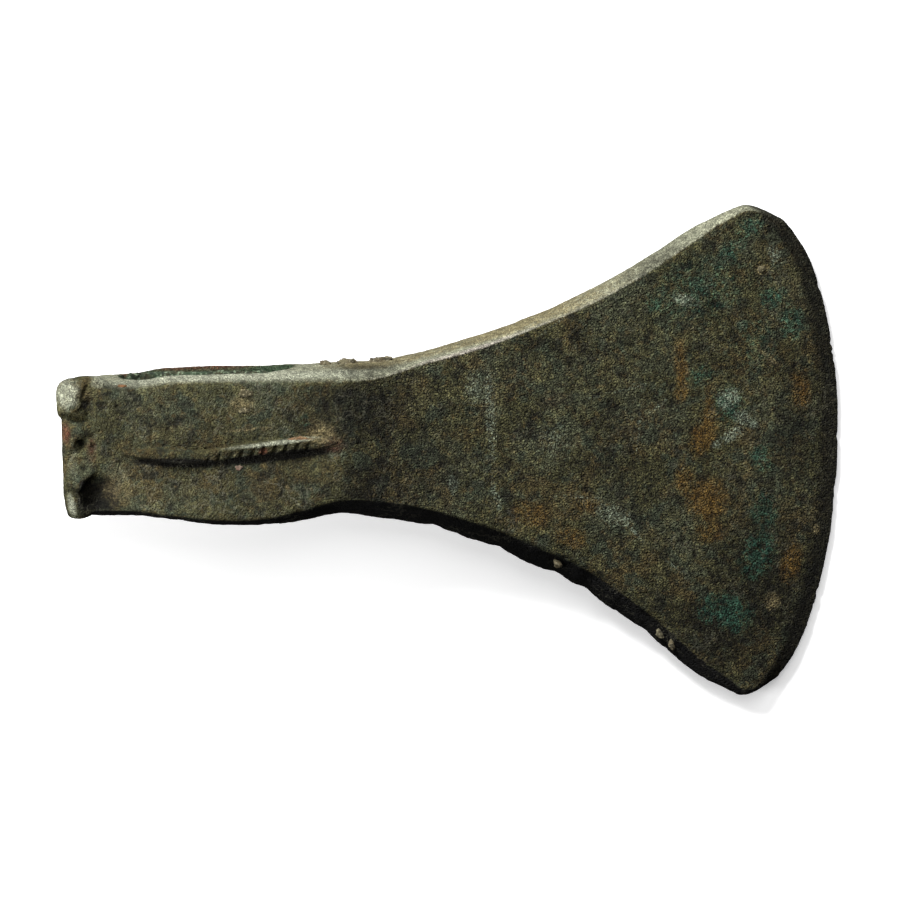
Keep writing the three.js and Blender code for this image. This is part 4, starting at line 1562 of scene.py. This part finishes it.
    def _hole_cutter(self) -> bpy.types.Object:
        """Builds the closed prism that cuts the haft hole.

        Returns:
            The cutter's object.
        """
        shape = self.shape
        turns = np.linspace(0, 2 * math.pi, 2 * self.hole_round_steps, endpoint=False)
        end = np.where(np.cos(turns) >= 0, 1, -1)
        along = end * shape.hole_flat / 2 + (shape.hole_length - shape.hole_flat) / 2 * np.cos(turns)
        out = shape.hole_width / 2 * np.sin(turns)
        x = shape.hole_from_butt + along
        top = np.full_like(x, shape.blade_rise)
        rings = [np.stack((x, side * top, out), axis=1) for side in (-1, 1)]
        count = len(x)
        faces = [tuple(range(count - 1, -1, -1)), tuple(range(count, 2 * count))]
        for step in range(count):
            beside = (step + 1) % count
            faces.append((step, beside, count + beside, count + step))
        cutter = make_object("hole_cutter", shape.placed(np.concatenate(rings)), faces)
        work = bmesh.new()
        work.from_mesh(cutter.data)
        bmesh.ops.recalc_face_normals(work, faces=work.faces)
        work.to_mesh(cutter.data)
        work.free()
        return cutter

    def _lump(self, number: int, lump: ButtLump) -> bpy.types.Object:
        """Builds one lump of the butt: a hammered, uneven egg.

        Args:
            number: Place of the lump in the list, which seeds its unevenness.
            lump: Its place and sizes.

        Returns:
            The lump's object.
        """
        work = bmesh.new()
        bmesh.ops.create_icosphere(work, subdivisions=self.lump_facets, radius=1)
        shift = Vector((self.lump_seeds[0] * number, self.lump_seeds[1], 0))
        for vertex in work.verts:
            away = noise.noise(vertex.co * self.lump_pattern + shift)
            vertex.co *= 1 + self.lump_unevenness * away
        points = np.array([vertex.co for vertex in work.verts])
        faces = [tuple(vertex.index for vertex in face.verts) for face in work.faces]
        work.free()
        points = np.sign(points) * np.abs(points) ** lump.power
        points = points * (lump.reach, lump.rise, lump.swell) + (lump.along, lump.height, lump.out)
        return make_object("butt_lump", self.shape.placed(points), faces)

    def _ease(self, casting: bpy.types.Object) -> None:
        """Runs the lumps of the butt into each other, rounds the socket's worn arrises and eases every edge.

        Args:
            casting: The evenly meshed casting.
        """
        x, y, _ = self.shape.unplaced(points_of(casting.data)).T
        beside = np.minimum(np.abs(y - self.shape.upper_arris(x)), np.abs(y - self.shape.lower_arris(x)))
        on_arris = (beside < self.arris_soft_reach) & (x < self.shape.root_at * self.arris_soft_share)
        parts = (
            ("butt", self.butt_soft_steps, x < self.butt_soft_reach),
            ("arris", self.arris_soft_steps, on_arris),
            ("all", self.edge_soft_steps, x > 0),
        )
        for name, steps, chosen in parts:
            group = casting.vertex_groups.new(name=name)
            group.add(np.nonzero(chosen)[0].tolist(), 1.0, "REPLACE")
            soft = casting.modifiers.new("ease_" + name, "SMOOTH")
            soft.factor = self.soft_factor
            soft.iterations = steps
            soft.vertex_group = name
        apply_modifiers(casting)
        casting.vertex_groups.clear()

    def _sculpt(self, casting: bpy.types.Object) -> None:
        """Works out the cracks, ridges and dents, and how calm the skin is, at each point.

        Args:
            casting: The evenly meshed casting.
        """
        wear = self.wear
        x, y, z = self.shape.unplaced(points_of(casting.data)).T
        height = np.zeros(len(x))
        half = self.shape.half_thickness(x)
        front = smooth_step(z, half * wear.sculpted_shares[0], half * wear.sculpted_shares[1])
        for stroke in self.strokes:
            height += self._stroke_height(stroke, x, y) * front
        for dent in self.dents:
            height += dent.lift * np.exp(-self._ellipse(dent, x, y)) * front
        height += self._nicks(x, y)
        store_values(casting.data, "sculpted", height * MM)
        edge = self._edge_distance(x, y)
        arris = self.shape.upper_arris(x)
        worn = smooth_step(y, arris + wear.smooth_arris_fade[0], arris + wear.smooth_arris_fade[1])
        calm = wear.smooth_arris * worn + wear.smooth_edge * (1 - smooth_step(edge, *wear.smooth_edge_fade))
        (along, up), (wide, tall) = wear.smooth_lobe_at, wear.smooth_lobe_reach
        lobe = np.exp(-((x - along) / wide) ** 2 - ((y - up) / tall) ** 2)
        calm = np.maximum(calm, wear.smooth_lobe * lobe)
        store_values(casting.data, "calm", np.clip(calm, 0, wear.most_smooth))

    @staticmethod
    def _ellipse(mark: Dent | StainSpot, first: np.ndarray, second: np.ndarray) -> np.ndarray:
        """Gives the squared distance from a mark's middle in shares of its reach and breadth.

        Args:
            mark: The mark, with along, height, reach, breadth and turn.
            first: Places along.
            second: Places across.

        Returns:
            The squared distance, 1 at the rim.
        """
        turn = math.radians(mark.turn)
        along, across = first - mark.along, second - mark.height
        turned_along = along * math.cos(turn) + across * math.sin(turn)
        turned_across = across * math.cos(turn) - along * math.sin(turn)
        return (turned_along / mark.reach) ** 2 + (turned_across / mark.breadth) ** 2

    @staticmethod
    def _stroke_height(stroke: Stroke, x: np.ndarray, y: np.ndarray) -> np.ndarray:
        """Gives the height that a stroke adds at each place.

        Args:
            stroke: The stroke.
            x: Distances from the butt.
            y: Heights above the long axis.

        Returns:
            Heights in millimetres.
        """
        nearest = np.full(len(x), np.inf)
        for (ax, ay), (bx, by) in zip(stroke.points[:-1], stroke.points[1:]):
            dx, dy = bx - ax, by - ay
            share = np.clip(((x - ax) * dx + (y - ay) * dy) / (dx * dx + dy * dy), 0, 1)
            nearest = np.minimum(nearest, np.hypot(x - ax - share * dx, y - ay - share * dy))
        return stroke.height * hump(nearest, 0, stroke.width)

    def _edge_distance(self, x: np.ndarray, y: np.ndarray) -> np.ndarray:
        """Gives how far back of the cutting edge each place lies.

        Args:
            x: Distances from the butt.
            y: Heights above the long axis.

        Returns:
            Distances in millimetres.
        """
        shape = self.shape
        last = shape.station_shares[-1]
        high, low = last[1] * shape.blade_rise, -last[2] * shape.blade_drop
        apex = low + (high - low) * shape.apex_share
        away = np.where(y > apex, (y - apex) / (high - apex), (apex - y) / (apex - low))
        bow = (shape.length - last[0] * shape.length) * shape.sag(np.clip(away, 0, self.most_away))
        return shape.length - bow - x

    def _nicks(self, x: np.ndarray, y: np.ndarray) -> np.ndarray:
        """Gives the nicks of the lower side and of the cutting edge, as heights below the skin.

        Args:
            x: Distances from the butt.
            y: Heights above the long axis.

        Returns:
            Heights in millimetres, below zero in a nick and above it beside one.
        """
        height = np.zeros(len(x))
        lower = smooth_step(self.shape.lower_arris(x) - y, *self.side_nick_fade)
        for along, reach, depth in self.side_nicks:
            height -= depth * hump(x, along, reach) * lower
        edge = 1 - smooth_step(self._edge_distance(x, y), *self.edge_nick_fade)
        for up, reach, depth in self.edge_nicks:
            height -= depth * hump(y, up, reach) * edge
        return height

    def _thin(self, casting: bpy.types.Object) -> None:
        """Thins the mesh to its budget of triangles, most where it is flattest.

        Args:
            casting: The casting with its relief.
        """
        triangles = sum(len(face.vertices) - 2 for face in casting.data.polygons)
        thin = casting.modifiers.new("thin", "DECIMATE")
        thin.decimate_type = "COLLAPSE"
        thin.ratio = self.most_triangles / triangles
        thin.use_collapse_triangulate = True
        apply_modifiers(casting)

    def _mark(self, casting: bpy.types.Object) -> None:
        """Stores where each stain, each kind of wear and each painted light or shade lies.

        Args:
            casting: The thinned casting.
        """
        shape, wear, mesh = self.shape, self.wear, casting.data
        x, y, z = shape.unplaced(points_of(mesh)).T
        half = shape.half_thickness(x)
        high, low = shape.upper_arris(x), -shape.lower_arris(x)
        socket_end = [shape.root_at * share for share in wear.socket_end_shares]
        socket = 1 - smooth_step(x, *socket_end)
        upper = smooth_step(y, high - wear.below_arris[0] - wear.below_arris[1] * socket,
                            high + wear.above_arris[0] + wear.above_arris[1] * socket)
        upper = upper * smooth_step(x, *wear.upper_fade)
        lower = smooth_step(-y, low - wear.lower_margin, low + wear.lower_margin)
        lower = lower * smooth_step(x, *wear.lower_fade)
        front = smooth_step(z, wear.cheek_shares[0] * half, wear.cheek_shares[1] * half)
        front = front * (1 - upper) * (1 - lower)
        wall = self._hole_wall(x, z)
        bare = 1 - wall

        arris = hump(y - high, *wear.arris_line) * smooth_step(z, 0, half * wear.cheek_shares[1])
        arris = arris * (1 - wear.arris_socket_loss * socket)
        at, reach, strength = wear.arris_neck
        arris_along = wear.arris_least + strength * hump(x, at, reach)
        arris_along = arris_along * (1 - wear.arris_fade_loss * smooth_step(x, *wear.arris_fade))
        olive = np.zeros(len(x))
        for at, reach, strength in (wear.olive_blade, wear.olive_neck):
            olive = olive + strength * hump(x, at, reach)
        olive = np.clip(olive, 0, 1) * (1 - smooth_step(z, *wear.olive_fade))
        calm = np.maximum(wear.calm_socket * socket, wear.calm_upper * upper * bare)
        for name, values in (
            ("grain_share", 1 - calm),
            # Pale wear and painted light of the upper side
            ("side_worn_and_painted_light", upper * bare),
            ("side_olive", upper * bare * olive),
            # Painted highlight, with some wear, along the upper arris
            ("arris_worn_and_painted_highlight", arris * arris_along),
            # Dark patina with painted shade on the lower side
            ("lower_side_dark_and_painted_shade", lower * bare * smooth_step(z, *wear.lower_dark_fade)),
            ("wall_green", wall),
            # Painted shade behind the cutting edge
            ("edge_painted_shade", 1 - smooth_step(self._edge_distance(x, y), *wear.edge_fade)),
        ):
            store_values(mesh, name, values)
        for kind in Stain:
            held = np.zeros(len(x))
            for spot in self.spots:
                if spot.kind is kind:
                    second, mask = (y, front) if spot.face is Face.FRONT else (z, upper)
                    rim = self._ellipse(spot, x, second) ** wear.stain_power * wear.stain_fall
                    held = np.maximum(held, spot.strength * np.exp(-rim) * mask)
            store_values(mesh, kind.value, held)

    def _hole_wall(self, x: np.ndarray, z: np.ndarray) -> np.ndarray:
        """Gives 1 in the haft hole, 0 outside it.

        Args:
            x: Distances from the butt.
            z: Distances out of the mid-plane.

        Returns:
            The share of the hole at each place.
        """
        shape = self.shape
        past_flat = np.maximum(np.abs(x - shape.hole_from_butt) - shape.hole_flat / 2, 0)
        past_flat = past_flat / ((shape.hole_length - shape.hole_flat) / 2)
        ring = np.sqrt(past_flat ** 2 + (z / (shape.hole_width / 2)) ** 2)
        return 1 - smooth_step(ring, *self.wear.wall_fade_shares)


@dataclass
class CrustPad:
    """One crust on the bronze: its CAD pad grown down to the metal, roughened and strewn with crumbs."""

    node: bpy.types.Object
    ground: bpy.types.Object
    finish: bpy.types.Material
    sink: float = 0.6
    crumb_size: float = 0.2
    crumb_density: float = 2.2
    rough_height: float = 0.1
    rough_length: float = 0.8
    rough_detail: float = 3.0
    rough_fade: float = 0.5
    facet_level: int = 3
    voxel: float = 0.11
    foot_depth: float = 0.6
    foot_share: float = 0.45
    merge_mm: float = 0.01
    shift: tuple[float, float, float] = (0, 0, 0)
    least_crumb: tuple[float, float, float] = (0.4, 0.4, 0.4)
    most_crumb: tuple[float, float, float] = (1.2, 1.2, 1.0)
    seed: int = 1

    def build(self) -> bpy.types.Object:
        """Builds the crust.

        Returns:
            The finished piece.
        """
        work = bmesh.new()
        work.from_mesh(self.node.data)
        bmesh.ops.remove_doubles(work, verts=work.verts, dist=self.merge_mm * MM)
        bmesh.ops.recalc_face_normals(work, faces=work.faces)
        if self.sink:
            self._settle(work)
        name = self.node.name.split(".")[0] + "_crumbs"
        mesh = bpy.data.meshes.new(name)
        work.to_mesh(mesh)
        work.free()
        piece = bpy.data.objects.new(name, mesh)
        bpy.context.scene.collection.objects.link(piece)
        run_tree(piece, *self._tree())
        even_out(piece, self.voxel)
        dress(piece, self.finish)
        return piece

    def _settle(self, work: bmesh.types.BMesh) -> None:
        """Moves the pad down to the bronze and its foot into it.

        Args:
            work: The pad's mesh.
        """
        points = np.array([vertex.co for vertex in work.verts])
        middle = Vector(points.mean(0)) + Vector(self.shift) * MM
        _, _, out, _ = self.ground.closest_point_on_mesh(middle)
        height = points @ np.array(out)
        foot = height < height.min() + self.foot_share * (height.max() - height.min())
        for vertex, is_foot in zip(work.verts, foot):
            depth = self.sink + (self.foot_depth if is_foot else 0)
            vertex.co += (Vector(self.shift) - out * depth) * MM

    def _tree(self) -> tuple[bpy.types.NodeTree, dict[str, str], dict[str, float | int]]:
        """Builds the geometry tree that roughens the pad and strews crumbs on it.

        Returns:
            The tree, its inputs' identifiers, and its inputs' values.
        """
        values = {
            "Rough height": self.rough_height * MM,
            "Rough length": self.rough_length * MM,
            "Crumb size": self.crumb_size * MM,
            "Crumb density": self.crumb_density / MM / MM,
            "Seed": self.seed,
        }
        tree, identifiers, given = open_tree("crust_crumbs", values)
        fine = add_node(tree, "GeometryNodeSubdivideMesh", None, {
            "Mesh": given["Geometry"], "Level": self.facet_level,
        })
        height = add_waves(tree, given["Seed"], given["Rough length"], given["Rough height"],
                           self.rough_detail, self.rough_fade)
        rough = push_out(tree, fine.outputs["Mesh"], height)
        strewn = add_node(tree, "GeometryNodeDistributePointsOnFaces", {"distribute_method": "RANDOM"}, {
            "Mesh": rough, "Density": given["Crumb density"], "Seed": given["Seed"],
        })
        crumb = add_node(tree, "GeometryNodeMeshIcoSphere", None, {
            "Radius": given["Crumb size"], "Subdivisions": 1,
        })
        vary = add_node(tree, "FunctionNodeRandomValue", {"data_type": "FLOAT_VECTOR"}, {
            "Min": self.least_crumb, "Max": self.most_crumb, "Seed": given["Seed"],
        })
        crumbs = add_node(tree, "GeometryNodeInstanceOnPoints", None, {
            "Points": strewn.outputs["Points"], "Instance": crumb.outputs["Mesh"],
            "Rotation": strewn.outputs["Rotation"], "Scale": vary.outputs["Value"],
        })
        joined = add_node(tree, "GeometryNodeJoinGeometry")
        tree.links.new(rough, joined.inputs["Geometry"])
        tree.links.new(crumbs.outputs["Instances"], joined.inputs["Geometry"])
        close_tree(tree, joined.outputs["Geometry"])
        return tree, identifiers, values


@dataclass(frozen=True)
class SoftLight:
    """One square soft light: its place and the length of its side in millimetres, its power in watts."""

    place: tuple[float, float, float]
    size: float
    power: float


@dataclass
class Studio:
    """Pale table, camera and soft lights: past the upper side, overhead, and a faint one past the butt.

    Lengths are in millimetres, save the table's half width and the camera's reach, which are in metres.
    """

    target: tuple[float, float, float] = (-0.85, 1.0, 7.2)
    distance: float = 750
    lean: float = 7.5
    lens: float = 146.25
    sensor: float = 36
    clip_end: float = 10
    ambient: float = 0.02
    floor_drop: float = 0.6
    floor_half: float = 1.5
    floor_glow: float = 0.43
    lights: tuple[SoftLight, ...] = (
        SoftLight((-410, 780, 616), 250, 18.6),
        SoftLight((30, 340, 520), 360, 1.8),
        SoftLight((-220, -60, 120), 100, 0.42),
    )

    def build(self) -> None:
        """Builds the floor, the lights, the sky and the camera."""
        self._floor()
        for number, light in enumerate(self.lights):
            self._light(number, light)
        world = bpy.data.worlds.new("studio_sky")
        world.use_nodes = True
        world.node_tree.nodes["Background"].inputs["Color"].default_value = linear_colour("#ffffff")
        world.node_tree.nodes["Background"].inputs["Strength"].default_value = self.ambient
        bpy.context.scene.world = world
        bpy.context.scene.view_settings.view_transform = "Standard"
        self._camera()

    def _floor(self) -> None:
        """Lays the white table under the axe; it glows a little, as paper does under bright lamps."""
        half = self.floor_half
        corners = np.array([(-half, -half, 0), (half, -half, 0), (half, half, 0), (-half, half, 0)])
        corners[:, 2] = -self.floor_drop * MM
        floor = make_object("studio_table", corners, [(0, 1, 2, 3)])
        material, shader = new_material("white_paper_matt")
        shader.inputs["Base Color"].default_value = linear_colour("#f4f4f4")
        shader.inputs["Roughness"].default_value = 0.95
        shader.inputs["Specular IOR Level"].default_value = 0.0
        shader.inputs["Emission Color"].default_value = linear_colour("#ffffff")
        shader.inputs["Emission Strength"].default_value = self.floor_glow
        floor.data.materials.append(material)
        floor.visible_diffuse = False
        floor.visible_glossy = False

    @staticmethod
    def _light(number: int, light: SoftLight) -> None:
        """Hangs one soft light that looks at the axe.

        Args:
            number: Number of the light, for its name.
            light: Its place, size and power.
        """
        data = bpy.data.lights.new(f"softbox_{number + 1}", "AREA")
        data.shape = "SQUARE"
        data.size = light.size * MM
        data.energy = light.power
        lamp = bpy.data.objects.new(data.name, data)
        lamp.location = Vector(light.place) * MM
        lamp.rotation_euler = (-lamp.location).to_track_quat("-Z", "Y").to_euler()
        bpy.context.scene.collection.objects.link(lamp)

    def _camera(self) -> None:
        """Places the camera at the photograph's angle, nearly straight above the axe."""
        data = bpy.data.cameras.new("camera")
        data.lens = self.lens
        data.sensor_width = self.sensor
        data.clip_end = self.clip_end
        camera = bpy.data.objects.new("camera", data)
        lean = math.radians(self.lean)
        away = Vector((0, math.sin(lean), math.cos(lean))) * self.distance
        camera.location = (Vector(self.target) + away) * MM
        camera.rotation_euler = (-lean, 0, 0)
        bpy.context.scene.collection.objects.link(camera)
        bpy.context.scene.camera = camera


# Green copper carbonate grown on the hole's wall: granular and matt, with dark pits between pale grains
MALACHITE_LINING = BurialCrust("malachite_burial_lining", body="#2b3a27", light="#7d8c72", dark="#0d120b",
                               accent="#3b3724", grain_mm=0.7)
# Olive earth dried on along the seam: dull flakes with dark hollows
SEAM_EARTH = BurialCrust("olive_earth_dried", body="#67614a", light="#87816a", dark="#1b1810",
                         accent="#4d422c")
# Iron-stained earth dried on the butt: matt red-brown, nearly black between its crumbs
BROWN_EARTH = BurialCrust("iron_stained_earth_dried", body="#2b1f16", light="#4b3827", dark="#120d09",
                          accent="#3a2317")
# Lime crust stained by the earth: chalky cream with brown clouds
CREAM_CRUST = BurialCrust("lime_crust_cream", body="#695a41", light="#94845f", dark="#31291b",
                          accent="#6b4b31")
# Lime crust with much earth in it: fine pale tan grains on dark olive
TAN_CRUST = BurialCrust("lime_crust_tan", body="#4f4830", light="#9a9070", dark="#211e13",
                        accent="#3f3a24", grain_mm=0.4)
# Crumb of burnt clay: dry, dull and pinkish
PINK_CRUST = BurialCrust("clay_crumb_pink", body="#665648", light="#887668", dark="#32261e",
                         accent="#5b4033")
# Iron-rich clay crust: dull orange with brown hollows
ORANGE_CRUST = BurialCrust("clay_crust_orange", body="#6b5437", light="#8d6c45", dark="#3a2c1a",
                           accent="#77482a")

# Sizes in which these pads differ from a plain one, in millimetres
LINING = {"sink": 0, "voxel": 0.35, "crumb_size": 0.5, "crumb_density": 0.8, "rough_length": 1.6}
FLAKE = {"sink": 0.25, "crumb_size": 0.32, "rough_height": 0.16}
KNOB = {"sink": 0.85, "rough_height": 0.2, "rough_length": 0.9}


def dress_crusts(nodes: dict[str, bpy.types.Object], casting: bpy.types.Object) -> None:
    """Builds every crust on its CAD node's place and lets it ride with the axe.

    Args:
        nodes: The CAD nodes by name.
        casting: The bronze that the crusts sit on.
    """
    finishes = {crust.name: crust.build() for crust in (
        MALACHITE_LINING, SEAM_EARTH, BROWN_EARTH, CREAM_CRUST, TAN_CRUST, PINK_CRUST, ORANGE_CRUST)}
    # Each node's finish, slot and sizes; the seeds follow this order
    choices = {
        "hole_wall_crust": (MALACHITE_LINING, "malachite_crust", LINING),
        "seam_flake_1": (SEAM_EARTH, "brown_earth", FLAKE),
        "seam_flake_2": (SEAM_EARTH, "brown_earth", FLAKE),
        "seam_flake_3": (SEAM_EARTH, "brown_earth", FLAKE),
        "butt_earth": (BROWN_EARTH, "brown_earth", {}),
        "arris_spot": (ORANGE_CRUST, "pale_crust", KNOB),
        "rib_end_crust": (CREAM_CRUST, "pale_crust", {**KNOB, "shift": (0, -1.2, 0.2)}),
        "rib_crumb": (PINK_CRUST, "pale_crust", {}),
        "cheek_crust_upper": (TAN_CRUST, "pale_crust", {}),
        "cheek_crust_lower": (TAN_CRUST, "pale_crust", {}),
        "blade_tan_spot": (TAN_CRUST, "pale_crust", {}),
        "side_earth_1": (SEAM_EARTH, "pale_crust", {}),
        "side_earth_2": (SEAM_EARTH, "pale_crust", {}),
        "side_earth_3": (SEAM_EARTH, "pale_crust", {}),
    }
    for number, (node, (finish, slot, sizes)) in enumerate(choices.items()):
        pad = CrustPad(nodes[node], casting, finishes[finish.name], seed=number + 1, **sizes)
        piece = pad.build()
        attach(piece, ROOT_BODY)
        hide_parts(node)
        LOG.info("%s: %d faces", piece.name, len(piece.data.polygons))


def main() -> None:
    """Builds the studio, the casting and the crusts in order."""
    logging.basicConfig(level=logging.INFO, format="%(name)s: %(message)s", stream=sys.stdout)
    for leftover in list(bpy.data.objects):
        bpy.data.objects.remove(leftover)
    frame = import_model()
    Studio().build()
    casting = BronzeCasting(AxeShape(), BuriedBronzePatina()).build()
    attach(casting, ROOT_BODY)
    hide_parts("bronze_casting")
    LOG.info("%s: %d faces", casting.name, len(casting.data.polygons))
    dress_crusts(frame["nodes"], casting)


if __name__ == "__main__":
    main()
